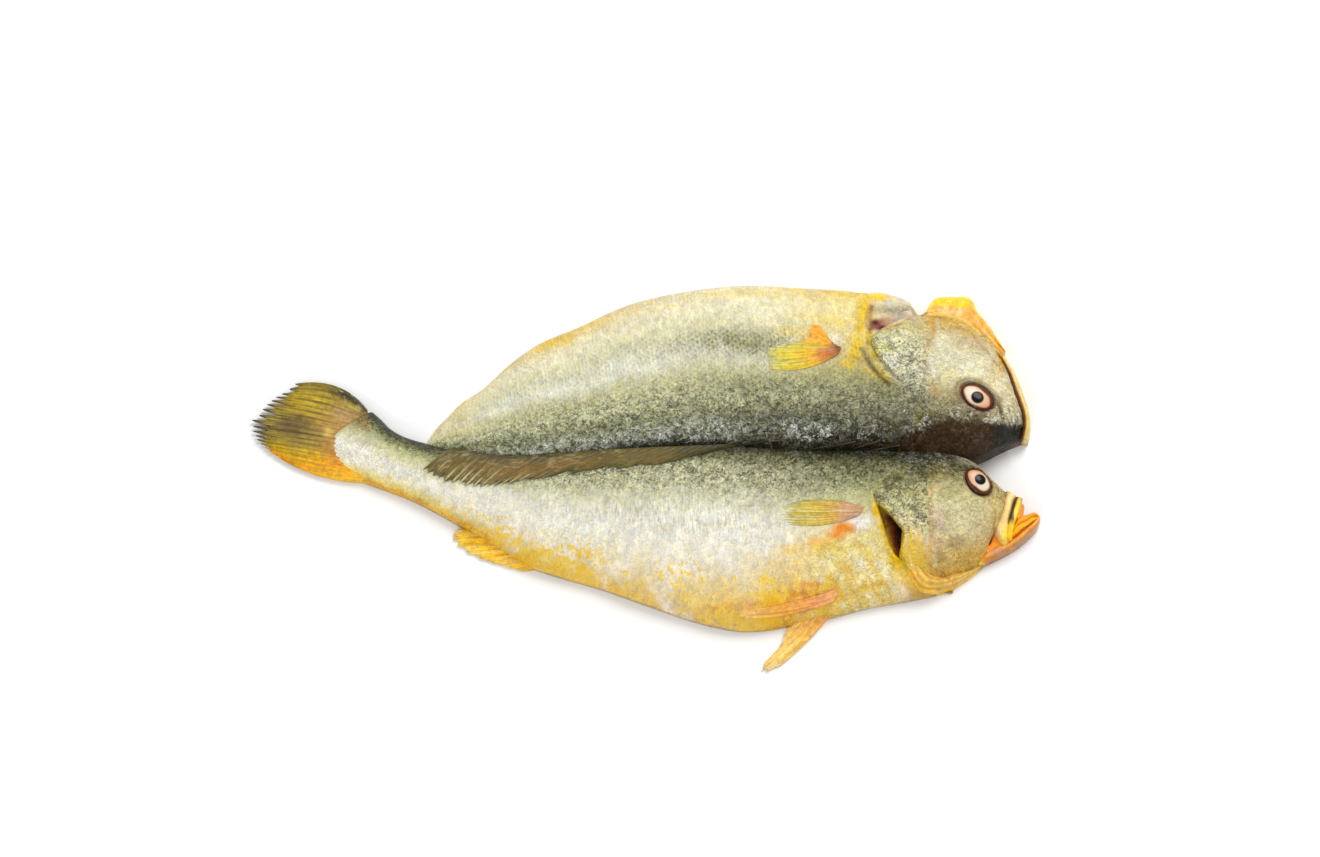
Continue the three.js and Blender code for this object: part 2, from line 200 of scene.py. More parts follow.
def gridFaces(rows, columns, start=0, flip=False):
    # quads of a grid of rows x columns points, numbered row by row
    k = start + np.arange(rows * columns).reshape(rows, columns)
    quads = np.stack([k[:-1, :-1], k[:-1, 1:], k[1:, 1:], k[1:, :-1]], -1).reshape(-1, 4)
    return quads[:, ::-1] if flip else quads


def rimOf(rows, columns, start=0):
    # the border of a grid as one closed ring of point numbers, counter-clockwise in (column, row)
    k = start + np.arange(rows * columns).reshape(rows, columns)
    return np.concatenate([k[0, :-1], k[:-1, -1], k[-1, :0:-1], k[:0:-1, 0]])


def closedSheet(name, top, bottom, material, tone, marks=None, uv=None, touch=None):
    # a thin solid: one grid above, one below with the same number of points, and a wall round the border
    rows, columns = top.shape[:2]
    count = rows * columns
    upper, lower = rimOf(rows, columns), rimOf(rows, columns, count)
    wall = np.stack([upper, np.roll(upper, -1), np.roll(lower, -1), lower], -1)
    normal = np.cross(top[0, -1] - top[0, 0], top[-1, 0] - top[0, 0])[2]
    faces = [gridFaces(rows, columns), gridFaces(rows, columns, count, True), wall[:, ::-1]]
    if normal < 0:
        faces = [f[:, ::-1] for f in faces]
    points = np.concatenate([top.reshape(-1, 3), bottom.reshape(-1, 3)])
    flat = lambda a, k: a.reshape(-1, k)
    tones = np.concatenate([flat(tone, 3)] * 2)
    marks, touch = (None if a is None else np.concatenate([flat(a, 3)] * 2) for a in (marks, touch))
    uv = None if uv is None else np.concatenate([flat(uv, 2)] * 2)
    return makePiece(name, points, faces, material, tones, marks, uv, touch=touch)


# materials
def newMaterial(name):
    # an empty material with one shader linked to its output
    material = bpy.data.materials.new(name)
    material.use_nodes = True
    tree = material.node_tree
    tree.nodes.clear()
    output = tree.nodes.new("ShaderNodeOutputMaterial")
    shader = tree.nodes.new("ShaderNodeBsdfPrincipled")
    tree.links.new(shader.outputs[0], output.inputs[0])
    return material, tree, shader


def put(tree, socket, value):
    # links a socket's value, or sets a number or colour
    if isinstance(value, bpy.types.NodeSocket):
        tree.links.new(value, socket)
    elif value is not None:
        socket.default_value = value


def calc(tree, operation, *values):
    # one math node
    node = tree.nodes.new("ShaderNodeMath")
    node.operation = operation
    for socket, value in zip(node.inputs, values):
        put(tree, socket, value)
    return node.outputs[0]


def mixColour(tree, kind, factor, a, b):
    # one colour mix node: a under b by factor
    node = tree.nodes.new("ShaderNodeMix")
    node.data_type = "RGBA"
    node.blend_type = kind
    put(tree, node.inputs[0], factor)
    put(tree, node.inputs[6], a)
    put(tree, node.inputs[7], b)
    return node.outputs[2]


def ease(tree, value, low, high, toLow=0.0, toHigh=1.0):
    # an S curve from toLow at low to toHigh at high
    node = tree.nodes.new("ShaderNodeMapRange")
    node.interpolation_type = "SMOOTHSTEP"
    for socket, number in zip(node.inputs, (value, low, high, toLow, toHigh)):
        put(tree, socket, number)
    return node.outputs[0]


def readAttribute(tree, name):
    # a node that reads the values kept at the points of the mesh
    node = tree.nodes.new("ShaderNodeAttribute")
    node.attribute_name = name
    return node


def grain(tree, perMetre, detail=3.0, rough=0.6, stretch=None, swirl=0.0):
    # noise on Object coordinates, perMetre cells to the metre
    place = tree.nodes.new("ShaderNodeTexCoord").outputs["Object"]
    if stretch:
        mapping = tree.nodes.new("ShaderNodeMapping")
        mapping.inputs["Scale"].default_value = stretch
        tree.links.new(place, mapping.inputs[0])
        place = mapping.outputs[0]
    node = tree.nodes.new("ShaderNodeTexNoise")
    tree.links.new(place, node.inputs["Vector"])
    node.inputs["Scale"].default_value = perMetre
    node.inputs["Detail"].default_value = detail
    node.inputs["Roughness"].default_value = rough
    node.inputs["Distortion"].default_value = swirl
    return node.outputs["Fac"]


def apartOf(tree, vector):
    # the three parts of a vector
    node = tree.nodes.new("ShaderNodeSeparateXYZ")
    tree.links.new(vector, node.inputs[0])
    return node.outputs


def greyOf(tree, value):
    # one value as a grey colour
    node = tree.nodes.new("ShaderNodeCombineXYZ")
    for socket in node.inputs:
        tree.links.new(value, socket)
    return node.outputs[0]


# radius of a scale and distance of its rows in scale pitches, and how far noise bends the lattice
scaleShape = {"reach": 0.75, "rows": 0.5, "bend": 0.7,
    "noise": {"Scale": 1.1, "Detail": 3.0, "Roughness": 0.7}}


def scaleNodes(tree):
    # lattice of overlapping round scales: how far a point lies inside the free edge of its scale, and a
    # random number for each scale
    uv = tree.nodes.new("ShaderNodeUVMap")
    uv.uv_map = "lattice"
    bend = tree.nodes.new("ShaderNodeVectorMath")
    bend.operation = "MULTIPLY_ADD"
    wander = tree.nodes.new("ShaderNodeTexNoise")
    for socket, number in scaleShape["noise"].items():
        wander.inputs[socket].default_value = number
    tree.links.new(uv.outputs[0], wander.inputs["Vector"])
    tree.links.new(wander.outputs["Color"], bend.inputs[0])
    bend.inputs[1].default_value = (scaleShape["bend"], scaleShape["bend"], 0)
    tree.links.new(uv.outputs[0], bend.inputs[2])
    along, across, _ = apartOf(tree, bend.outputs[0])
    doubled = calc(tree, "DIVIDE", along, scaleShape["rows"])
    row = calc(tree, "FLOOR", doubled)
    odd = calc(tree, "FLOORED_MODULO", row, 2.0)
    found = []
    for back in (0, 1):
        past = calc(tree, "ADD", calc(tree, "SUBTRACT", doubled, row), float(back))
        da = calc(tree, "MULTIPLY", past, scaleShape["rows"])
        shift = calc(tree, "MULTIPLY", odd, 0.5) if back == 0 else calc(tree, "MULTIPLY_ADD", odd, -0.5, 0.5)
        place = calc(tree, "SUBTRACT", across, shift)
        column = calc(tree, "ROUND", place)
        dt = calc(tree, "SUBTRACT", place, column)
        away = calc(tree, "SQRT", calc(tree, "MULTIPLY_ADD", da, da, calc(tree, "MULTIPLY", dt, dt)))
        found.append((away, column))
    over = calc(tree, "LESS_THAN", found[1][0], scaleShape["reach"])

    def choose(a, b):
        return calc(tree, "MULTIPLY_ADD", calc(tree, "SUBTRACT", b, a), over, a)

    inside = calc(tree, "SUBTRACT", scaleShape["reach"], choose(found[0][0], found[1][0]))
    key = tree.nodes.new("ShaderNodeCombineXYZ")
    tree.links.new(calc(tree, "SUBTRACT", row, over), key.inputs[0])
    tree.links.new(choose(found[0][1], found[1][1]), key.inputs[1])
    dice = tree.nodes.new("ShaderNodeTexWhiteNoise")
    dice.noise_dimensions = "2D"
    tree.links.new(key.outputs[0], dice.inputs["Vector"])
    return inside, dice.outputs["Value"]


skinLook = {
    "rimLight": 0.22, "heartDark": 0.42, "toss": 0.2, "fine": 1.9, "middle": 1.3, "crease": 0.8,
    "streak": 2.6,
    # pale is the colour of the painted wet glints; lemon and amber are the gold
    "pale": tint(250, 252, 246), "lemon": tint(252, 216, 90), "amber": tint(246, 194, 42),
    "roughness": (0.22, 0.5), "coat": 0.25, "coatRoughness": 0.08, "ior": 1.27, "bump": 0.9,
    "bumpHeight": 0.0006,
}


def skinMaterial():
    # marks: how far scales show, share of gold, how dark the hearts of the scales are
    # touch: strength of the mottling, of upright streaks and of painted wet glints, pale flecks of highlight
    look = skinLook
    material, tree, shader = newMaterial("wet_scaled_skin")
    tone = readAttribute(tree, "tone").outputs["Color"]
    shown, golden, hearts = apartOf(tree, readAttribute(tree, "marks").outputs["Vector"])
    mottle, streak, paintedGlint = apartOf(tree, readAttribute(tree, "touch").outputs["Vector"])
    inside, dice = scaleNodes(tree)
    fine, middle, broad = (grain(tree, 950, 4, 0.7, None, 0.6), grain(tree, 400, 3, 0.6, None, 0.8),
        grain(tree, 130, 3, 0.6))
    hair = grain(tree, 800, 3, 0.65, (1.5, 0.28, 0.5))
    # thin crinkles where two noises cross their middle value
    crinkles = []
    for perMetre, width in ((500, 0.05), (300, 0.035)):
        off = calc(tree, "ABSOLUTE",
            calc(tree, "SUBTRACT", grain(tree, perMetre, 3, 0.6, (1.0, 1.3, 1.0), 1.0), 0.5))
        crinkles.append(ease(tree, off, 0.0, width, 1.0, 0.0))
    lightCrease, darkCrease = crinkles
    rim = calc(tree, "MULTIPLY", ease(tree, inside, 0.0, 0.2, 1.0, 0.0), shown)
    rim = calc(tree, "MULTIPLY", rim, ease(tree, middle, 0.36, 0.6, 0.35, 1.25))
    heart = calc(tree, "MULTIPLY", ease(tree, inside, 0.18, 0.5), calc(tree, "MULTIPLY", shown, hearts))
    heart = calc(tree, "MULTIPLY", heart, ease(tree, fine, 0.36, 0.6, 0.35, 1.3))
    # light and dark: rims and hearts of scales, a random shade for each, mottling and streaks
    light = calc(tree, "MULTIPLY_ADD", rim, look["rimLight"], 1.0)
    light = calc(tree, "MULTIPLY_ADD", heart, -look["heartDark"], light)
    toss = calc(tree, "MULTIPLY", calc(tree, "SUBTRACT", dice, 0.5),
        calc(tree, "MULTIPLY", shown, look["toss"]))
    light = calc(tree, "ADD", light, toss)
    spots = calc(tree, "MULTIPLY", calc(tree, "SUBTRACT", fine, 0.5), look["fine"])
    spots = calc(tree, "MULTIPLY_ADD", calc(tree, "SUBTRACT", middle, 0.5), look["middle"], spots)
    spots = calc(tree, "MULTIPLY_ADD", calc(tree, "SUBTRACT", lightCrease, 0.22), look["crease"], spots)
    spots = calc(tree, "MULTIPLY_ADD", calc(tree, "SUBTRACT", darkCrease, 0.12), -0.7 * look["crease"], spots)
    light = calc(tree, "MULTIPLY_ADD", spots, mottle, light)
    strokes = calc(tree, "MULTIPLY", calc(tree, "SUBTRACT", hair, 0.5), look["streak"])
    light = calc(tree, "MULTIPLY_ADD", strokes, streak, light)
    light = calc(tree, "MULTIPLY", light, ease(tree, broad, 0.3, 0.7, 0.9, 1.08))
    light = calc(tree, "MINIMUM", calc(tree, "MAXIMUM", light, 0.25), 2.2)
    colour = mixColour(tree, "MULTIPLY", 1.0, tone, greyOf(tree, light))
    # gold: ragged clumps that grow with their share, lemon to amber
    clump = calc(tree, "MULTIPLY_ADD", calc(tree, "SUBTRACT", dice, 0.5), 0.1,
        grain(tree, 460, 3, 0.6, None, 0.6))
    least = calc(tree, "MULTIPLY_ADD", golden, -0.36, 0.68)
    gild = ease(tree, calc(tree, "SUBTRACT", clump, least), -0.04, 0.13)
    gild = calc(tree, "MULTIPLY", gild, ease(tree, golden, 0.0, 0.1, 0.0, 0.92))
    richer = ease(tree, calc(tree, "MULTIPLY_ADD", golden, 0.5, middle), 0.78, 1.1)
    gold = mixColour(tree, "MIX", richer, (*look["lemon"], 1), (*look["amber"], 1))
    gold = mixColour(tree, "MULTIPLY", 1.0, gold, greyOf(tree, ease(tree, light, 0.5, 1.4, 0.86, 1.08)))
    colour = mixColour(tree, "MIX", gild, colour, gold)
    # warmer and cooler places, and painted wet glints: pale flecks of highlight, most on the dark back
    colour = mixColour(tree, "MULTIPLY", ease(tree, grain(tree, 330, 3, 0.6), 0.4, 0.64), colour,
        (1.03, 0.99, 0.86, 1))
    glint = calc(tree, "MULTIPLY", calc(tree, "MAXIMUM", lightCrease, ease(tree, fine, 0.55, 0.61)),
        ease(tree, middle, 0.45, 0.53))
    glint = calc(tree, "MULTIPLY", calc(tree, "MULTIPLY", glint, ease(tree, broad, 0.4, 0.6, 0.3, 1.0)),
        paintedGlint)
    colour = mixColour(tree, "MIX", glint, colour, (*look["pale"], 1))
    tree.links.new(colour, shader.inputs["Base Color"])
    low, high = look["roughness"]
    tree.links.new(ease(tree, middle, 0.38, 0.62, low, high), shader.inputs["Roughness"])
    tree.links.new(ease(tree, greyOf(tree, tone), 0.0, 0.1, 0.02, look["coat"]), shader.inputs["Coat Weight"])
    shader.inputs["Coat Roughness"].default_value = look["coatRoughness"]
    shader.inputs["IOR"].default_value = look["ior"]
    height = calc(tree, "MULTIPLY", ease(tree, inside, 0.0, 0.12), calc(tree, "MULTIPLY", shown, 0.35))
    height = calc(tree, "MULTIPLY_ADD", fine, 1.1, height)
    height = calc(tree, "MULTIPLY_ADD", middle, 1.3, height)
    height = calc(tree, "MULTIPLY_ADD", calc(tree, "SUBTRACT", lightCrease, darkCrease),
        calc(tree, "MULTIPLY", mottle, 0.5), height)
    node = tree.nodes.new("ShaderNodeBump")
    node.inputs["Strength"].default_value = look["bump"]
    node.inputs["Distance"].default_value = look["bumpHeight"]
    tree.links.new(height, node.inputs["Height"])
    tree.links.new(node.outputs[0], shader.inputs["Normal"])
    tree.links.new(node.outputs[0], shader.inputs["Coat Normal"])
    return material


def softMaterial(name, look, alongRays=False):
    # bare wet flesh and membranes: the tone times a noise, which runs along the rays on fins, and a little
    # light inside
    material, tree, shader = newMaterial(name)
    tone = readAttribute(tree, "tone").outputs["Color"]
    fibre, speck = grain(tree, look["fibres"], 4, 0.65), grain(tree, 1500, 3, 0.65)
    if alongRays:
        strand = tree.nodes.new("ShaderNodeTexNoise")
        strand.inputs["Scale"].default_value = look["strands"]
        strand.inputs["Detail"].default_value = 3.0
        tree.links.new(readAttribute(tree, "marks").outputs["Vector"], strand.inputs["Vector"])
        fibre = calc(tree, "MULTIPLY_ADD", calc(tree, "SUBTRACT", strand.outputs["Fac"], 0.5), 1.1, fibre)
    low, high = 1 - look["depth"], 1 + look["depth"]
    light = calc(tree, "MULTIPLY", ease(tree, fibre, 0.32, 0.68, low, high),
        ease(tree, speck, 0.36, 0.64, 1 - look["speck"], 1 + look["speck"]))
    colour = mixColour(tree, "MULTIPLY", 1.0, tone, greyOf(tree, light))
    colour = mixColour(tree, "MULTIPLY", ease(tree, grain(tree, 300, 3), 0.4, 0.62), colour,
        (1.04, 0.98, 0.84, 1))
    tree.links.new(colour, shader.inputs["Base Color"])
    low, high = look["roughness"]
    tree.links.new(ease(tree, fibre, 0.36, 0.64, low, high), shader.inputs["Roughness"])
    shader.inputs["IOR"].default_value = look["ior"]
    shader.inputs["Coat Weight"].default_value = look["coat"]
    shader.inputs["Coat Roughness"].default_value = look["coatRoughness"]
    shader.inputs["Subsurface Weight"].default_value = look["inside"]
    shader.inputs["Subsurface Radius"].default_value = look["radius"]
    shader.inputs["Subsurface Scale"].default_value = look["scale"]
    node = tree.nodes.new("ShaderNodeBump")
    node.inputs["Strength"].default_value = look["bump"]
    node.inputs["Distance"].default_value = look["bumpHeight"]
    tree.links.new(calc(tree, "MULTIPLY_ADD", speck, 0.5, fibre), node.inputs["Height"])
    tree.links.new(node.outputs[0], shader.inputs["Normal"])
    return material


# what flesh and fins share, then how coarse and how strong their fibres are
softLook = {
    "speck": 0.06, "ior": 1.37, "coat": 0.22, "coatRoughness": 0.12, "inside": 0.12,
    "radius": (1.0, 0.5, 0.25), "scale": 0.002,
    "bump": 0.6, "bumpHeight": 0.00035,
}
fleshLook = {**softLook, "fibres": 420, "depth": 0.13, "roughness": (0.26, 0.46)}
finLook = {**softLook, "fibres": 600, "strands": 2.4, "depth": 0.22, "roughness": (0.3, 0.5)}
wetEye = {"Roughness": 0.3, "Specular IOR Level": 0.15, "Coat Weight": 0.2, "Coat Roughness": 0.03}


def eyeMaterial():
    # smooth wet eye under a clear coat
    material, tree, shader = newMaterial("wet_eye")
    tree.links.new(readAttribute(tree, "tone").outputs["Color"], shader.inputs["Base Color"])
    for socket, number in wetEye.items():
        shader.inputs[socket].default_value = number
    return material


skin = skinMaterial()
flesh = softMaterial("wet_bare_flesh", fleshLook)
finSkin = softMaterial("wet_fin_membrane", finLook, True)
eyeball = eyeMaterial()
print("materials made")

# the two halves of the body
nearThickness = 18.5
farThickness = 23.0
near = {
    "back": curve([
        (-104, 24.8), (-101.5, 22.5), (-96, 17), (-90, 13.5), (-83.5, 11.5), (-70, 7), (-55, 4.5), (-32, 5),
        (-2, 7), (28.5, 8.5), (58.5, 7), (81, 7), (104, 6), (119, 4), (126, 1), (130.5, -4), (134.5, -7),
        (138, -10.5),
    ]),
    "belly": curve([
        (-111.5, -1.6), (-106.5, -3.5), (-97, -7), (-88.5, -10.5), (-79, -15.5), (-64, -24.5), (-53, -31.5),
        (-43.5, -37), (-32, -41), (-17, -45.5), (-2, -51), (13, -56.5), (24.5, -60), (35.5, -62),
        (46.5, -61.5), (58, -59), (71, -56.5), (83.5, -53), (97.5, -50.5), (110.5, -47.5), (120.5, -42),
        (127.5, -36.5),
    ]),
    "front": table((-37, 127.5), (-31.5, 128.5), (-26, 130.5), (-20.5, 134.5), (-16, 137), (-10.5, 138)),
    "rear": table(
        (-1.6, -111.5), (2.8, -115.9), (6.8, -117.8), (11.7, -119.3), (14.9, -118.4), (17.5, -115),
        (20, -111), (22.5, -107.5), (24.8, -104),
    ),
    "backAt": table(
        (-120, 36), (-107, 27.5), (-96, 17), (-83.5, 11.5), (-70, 7), (-55, 4.5), (-32, 5), (-2, 7),
        (28.5, 8.5), (58.5, 7), (104, 6), (119, 4), (126, 1), (130.5, -4), (138, -10.5),
    ),
    "bellyAt": table(
        (-120, 1), (-106.5, -3.5), (-88.5, -10.5), (-64, -24.5), (-43.5, -37), (-17, -45.5), (13, -56.5),
        (35.5, -62), (58, -59), (83.5, -53), (110.5, -47.5), (127.5, -38), (138, -33),
    ),
    "thickness": table(
        (-120, 0.16), (-112, 0.32), (-104, 0.44), (-80, 0.56), (-60, 0.67), (-30, 0.84), (0, 0.95), (40, 1),
        (75, 0.97), (100, 0.98), (118, 0.9), (130, 0.74), (140, 0.6),
    ),
    "ridge": table((-120, 0.5), (-92, 0.48), (-60, 0.3), (-30, 0.24), (90, 0.24), (116, 0.16), (138, 0.14)),
    "backShare": table((-120, 0.12), (-92, 0.14), (-78, 0.4), (-60, 0.6), (110, 0.6), (124, 0.5), (138, 0.4)),
    "edgeShare": 0.1, "fullness": (2.2, 2), "most": nearThickness,
    "cheek": table((-44.5, 116), (-43, 111), (-39.5, 107.5), (-31.5, 106), (-23, 108.5), (-9, 108.5)),
    "cover": table(
        (-48, 106.5), (-45.5, 102), (-41, 97.5), (-35.5, 95), (-30.5, 96), (-27, 95.5), (-24, 93.5),
        (-20.5, 90.5), (-17.5, 87), (-13.5, 85.5), (-9.5, 88.5), (-6, 91), (-2.5, 97.5),
    ),
    "rim": table((-38, 94.2), (-34.5, 92), (-28, 89.5), (-20, 87.2), (-17, 86)),
    "fade": lambda y: smooth(2, -9, y) * smooth(-50, -45, y),
    "pit": (-37, -17.5, 6.0),
}
far = {
    "back": curve([
        (-84, 9), (-70, 3.5), (-55, 0), (-32, 0.5), (-2, 3), (28.5, 4.5), (58.5, 3.2), (81, 3), (104, 2.5),
        (118, 2.4), (124, 3.4), (128.5, 5.2), (134, 8.2), (138, 10.2), (142.5, 12),
    ]),
    "belly": curve([
        (-84, 12), (-80, 18.5), (-75.5, 23.5), (-71, 28.5), (-62, 35), (-53, 44), (-43.5, 51.5),
        (-34.5, 56), (-25.5, 60), (-7, 69), (12, 74), (36.5, 77), (60, 76), (79.5, 74.5), (96, 72),
        (103, 66.5), (106, 63.5), (113, 66), (121.5, 65.5), (128, 63.5), (133, 58), (136.5, 49),
    ]),
    "front": table((10.5, 143), (17, 144), (23, 143.5), (29.5, 141.5), (35.5, 140), (41.5, 138.5),
        (49, 136.5)),
    "rear": table((9, -84), (12, -84)),
    "backAt": table(
        (-84, 9), (-70, 3.5), (-55, 0), (-32, 0.5), (-2, 3), (28.5, 4.5), (58.5, 3.2), (104, 2.5), (118, 2),
        (128.5, 4), (142.5, 10.5),
    ),
    "bellyAt": table(
        (-84, 12), (-75.5, 23.5), (-62, 35), (-43.5, 51.5), (-25.5, 60), (-7, 69), (12, 74), (36.5, 77),
        (60, 76), (79.5, 74.5), (96, 71), (113, 67), (128, 64), (143, 57),
    ),
    "thickness": table(
        (-84, 0.2), (-70, 0.38), (-50, 0.58), (-20, 0.76), (20, 0.9), (60, 0.97), (95, 1), (115, 0.97),
        (130, 0.84), (143, 0.7),
    ),
    "ridge": table((-84, 0.3), (-60, 0.16), (-30, 0.14), (60, 0.16), (100, 0.22), (130, 0.26)),
    "backShare": table((-84, 0.3), (-60, 0.24), (120, 0.24), (132, 0.3)),
    "edgeShare": 0.1, "fullness": (1.7, 1.5), "most": farThickness,
    "cheek": table((29, 106.5), (36.5, 106), (44, 108.5), (51.5, 109), (60, 110.5), (66, 113)),
    "cover": table(
        (28, 97.5), (34.5, 92.5), (37.5, 90), (42, 87.5), (46, 86), (50, 86.5), (53.5, 90), (57.5, 96),
        (62, 102.5),
    ),
    "rim": table((52, 84.5), (56, 84), (62, 84.5), (67, 86)),
    "fade": lambda y: smooth(22, 34, y),
    "pit": (53, 66, 4.0),
}
eyes = {
    "near": {
        "at": (125, -7.7), "radii": (5.9, 4.4), "turn": -0.9, "sunk": 0.8,
        "pupil": (0.7, 0.5, 1.9), "thick": -1.3, "pale": (0.8, -0.6),
    },
    "far": {
        "at": (125.4, 24.5), "radii": (6.8, 4.9), "turn": -0.58, "sunk": 0.8,
        "pupil": (-0.2, -0.8, 2.15), "thick": 1.35, "pale": (-1.0, 0.1),
    },
}


def acrossOf(half, x, y):
    # share of the way from the back edge (0) to the belly edge (1) at the same x
    return np.clip((half["backAt"](x) - y) / (half["backAt"](x) - half["bellyAt"](x)), 0, 1)


def skinHeight(half, x, y):
    # height of the smooth skin: a quarter ellipse up from the back edge to the ridge, then down to the belly
    # as a fuller curve, all times the thickness there, and rounded off towards the mouth
    across, ridge = acrossOf(half, x, y), half["ridge"](x)
    p, q = half["fullness"]
    rise = 1 - np.clip(across / ridge, 0, 1)
    fall = np.clip((across - ridge) / (1 - ridge), 0, 1)
    up = mix(half["backShare"](x), 1, np.sqrt(1 - rise ** 2))
    down = mix(half["edgeShare"], 1, (1 - fall ** p) ** (1 / q))
    toFront = np.clip((half["front"](y) - x) / 12, 0, 1)
    blunt = mix(0.4, 1, np.sqrt(1 - (1 - toFront) ** 2))
    groove = half["fade"](y) * bump(0, 2, x - half["cheek"](y))
    return half["most"] * half["thickness"](x) * np.where(across < ridge, up, down) * blunt - groove


def softRelief(x, y):
    # gentle dents of the flesh under the skin
    return 0.35 * cloud(x, y, 22, 30) + 0.12 * cloud(x, y, 6, 31)


def eyeFrame(side, x, y):
    # place in an eye's own turned ellipse: 1 on the rim of the eyeball
    eye = eyes[side]
    dx, dy = x - eye["at"][0], y - eye["at"][1]
    c, s = math.cos(eye["turn"]), math.sin(eye["turn"])
    return np.hypot((dx * c + dy * s) / eye["radii"][0], (dy * c - dx * s) / eye["radii"][1])


pitch = {"along": 2.9, "across": 2.7}


def scalePattern(a, t):
    # the same overlapping discs as scaleNodes, as arrays: distance inside the free edge
    doubled = a / scaleShape["rows"]
    row = np.floor(doubled)
    odd = np.mod(row, 2)
    away = []
    for back, shift in ((0, odd * 0.5), (1, 0.5 - odd * 0.5)):
        da = (doubled - row + back) * scaleShape["rows"]
        dt = t - shift - np.round(t - shift)
        away.append(np.hypot(da, dt))
    over = away[1] < scaleShape["reach"]
    return scaleShape["reach"] - np.where(over, away[1], away[0])


def halfGrid(half, columns, rows):
    # plan and height of a half: u runs from the tail to the mouth, v from the back to the belly edge
    a = np.linspace(0, 1, columns)
    u = mix(a, 1 - (1 - a) ** 1.7, 0.3)
    w = np.linspace(0, 1, rows)[:, None]
    v = w - 0.55 * np.sin(2 * np.pi * w) / (2 * np.pi)
    b, l = half["back"](u), half["belly"](u)
    y = mix(b[:, 1], l[:, 1], v)
    x = mix(b[:, 0], l[:, 0], v)
    # both ends bulge from the straight line between their corners to their own outline
    for end, shape, weight in ((1.0, "front", smooth(0.86, 1, u)), (0.0, "rear", smooth(0.12, 0, u))):
        (backX, backY), (bellyX, bellyY) = half["back"](end), half["belly"](end)
        x = x + (half[shape](mix(backY, bellyY, v)) - mix(backX, bellyX, v)) * weight
    return x, y, u, v


def normalsOf(grid):
    # unit normals of a grid of points, from the cross product of its two slopes
    along, across = np.gradient(grid, axis=1), np.gradient(grid, axis=0)
    n = np.cross(along, across)
    n /= np.linalg.norm(n, axis=-1, keepdims=True) + 1e-9
    return n * np.sign(n[..., 2:3] + 1e-9)


def latticeOf(grid):
    # scale lattice: run along the skin towards the tail, and across it from the back edge, in scale pitches
    along = np.cumsum(np.linalg.norm(np.diff(grid, axis=1, prepend=grid[:, :1]), axis=-1), axis=1)
    across = np.cumsum(np.linalg.norm(np.diff(grid, axis=0, prepend=grid[:1]), axis=-1), axis=0)
    middle = along[along.shape[0] // 2][None] * np.ones_like(along)
    x, y = grid[..., 0], grid[..., 1]
    a = -middle / pitch["along"] + 0.14 * noise(x, y, 7, 3) + 0.2 * noise(x, y, 30, 4)
    t = across / pitch["across"] + 0.16 * noise(x, y, 8, 5) + 0.4 * noise(x, y, 40, 6)
    return np.stack([a, t], -1)


# colours of the skin
# each flank's colours run from the back edge (0) to the belly edge (1), as screen values
# on the far flank the lighter stops at 0.075 and 0.125 are a painted wet highlight along the ridge, and the
# pale stop at 0.525 is silver with a painted sheen on it
farRamp = [
    (0.0, tint(92, 92, 62)), (0.04, tint(136, 137, 104)), (0.075, tint(164, 167, 142)),
    (0.125, tint(168, 171, 142)), (0.175, tint(158, 160, 126)), (0.225, tint(180, 182, 142)),
    (0.275, tint(208, 210, 170)), (0.325, tint(212, 212, 168)), (0.375, tint(213, 212, 168)),
    (0.425, tint(214, 212, 174)), (0.475, tint(222, 221, 194)), (0.525, tint(231, 231, 210)),
    (0.58, tint(226, 226, 200)), (0.64, tint(222, 220, 188)), (0.71, tint(232, 228, 190)),
    (0.77, tint(239, 234, 200)), (0.83, tint(243, 236, 202)), (0.89, tint(243, 233, 194)),
    (1.0, tint(236, 227, 198)),
]
farHeadRamp = [
    (0.0, tint(54, 51, 30)), (0.09, tint(78, 76, 54)), (0.13, tint(104, 102, 78)),
    (0.2, tint(130, 128, 100)), (0.27, tint(156, 156, 124)), (0.32, tint(162, 162, 125)),
    (0.38, tint(168, 165, 118)), (0.43, tint(190, 180, 118)), (0.52, tint(200, 184, 116)),
    (0.66, tint(234, 214, 138)), (0.76, tint(246, 232, 176)), (0.86, tint(247, 230, 160)),
    (1.0, tint(236, 192, 50)),
]
nearRamp = [
    (0.0, tint(112, 114, 84)), (0.1, tint(140, 140, 104)), (0.16, tint(192, 192, 156)),
    (0.24, tint(212, 212, 176)), (0.3, tint(214, 214, 180)), (0.38, tint(222, 222, 196)),
    (0.46, tint(236, 235, 220)), (0.6, tint(244, 242, 230)), (0.72, tint(245, 241, 224)),
    (0.82, tint(243, 231, 196)), (0.92, tint(240, 212, 146)), (1.0, tint(226, 184, 100)),
]
nearHeadRamp = [
    (0.0, tint(42, 40, 20)), (0.08, tint(74, 72, 46)), (0.14, tint(140, 140, 102)),
    (0.25, tint(158, 160, 122)), (0.32, tint(200, 198, 150)), (0.38, tint(208, 204, 154)),
    (0.5, tint(228, 220, 178)), (0.6, tint(236, 222, 156)), (0.7, tint(242, 228, 176)),
    (0.84, tint(246, 222, 148)), (0.93, tint(226, 176, 76)), (1.0, tint(204, 154, 60)),
]
tailRamp = [
    (0.0, tint(52, 54, 32)), (0.09, tint(66, 66, 38)), (0.17, tint(106, 106, 68)),
    (0.26, tint(164, 166, 118)), (0.38, tint(204, 206, 160)), (0.5, tint(230, 226, 188)),
    (0.66, tint(252, 250, 238)), (0.82, tint(253, 248, 228)), (0.92, tint(252, 232, 146)),
    (1.0, tint(248, 216, 120)),
]


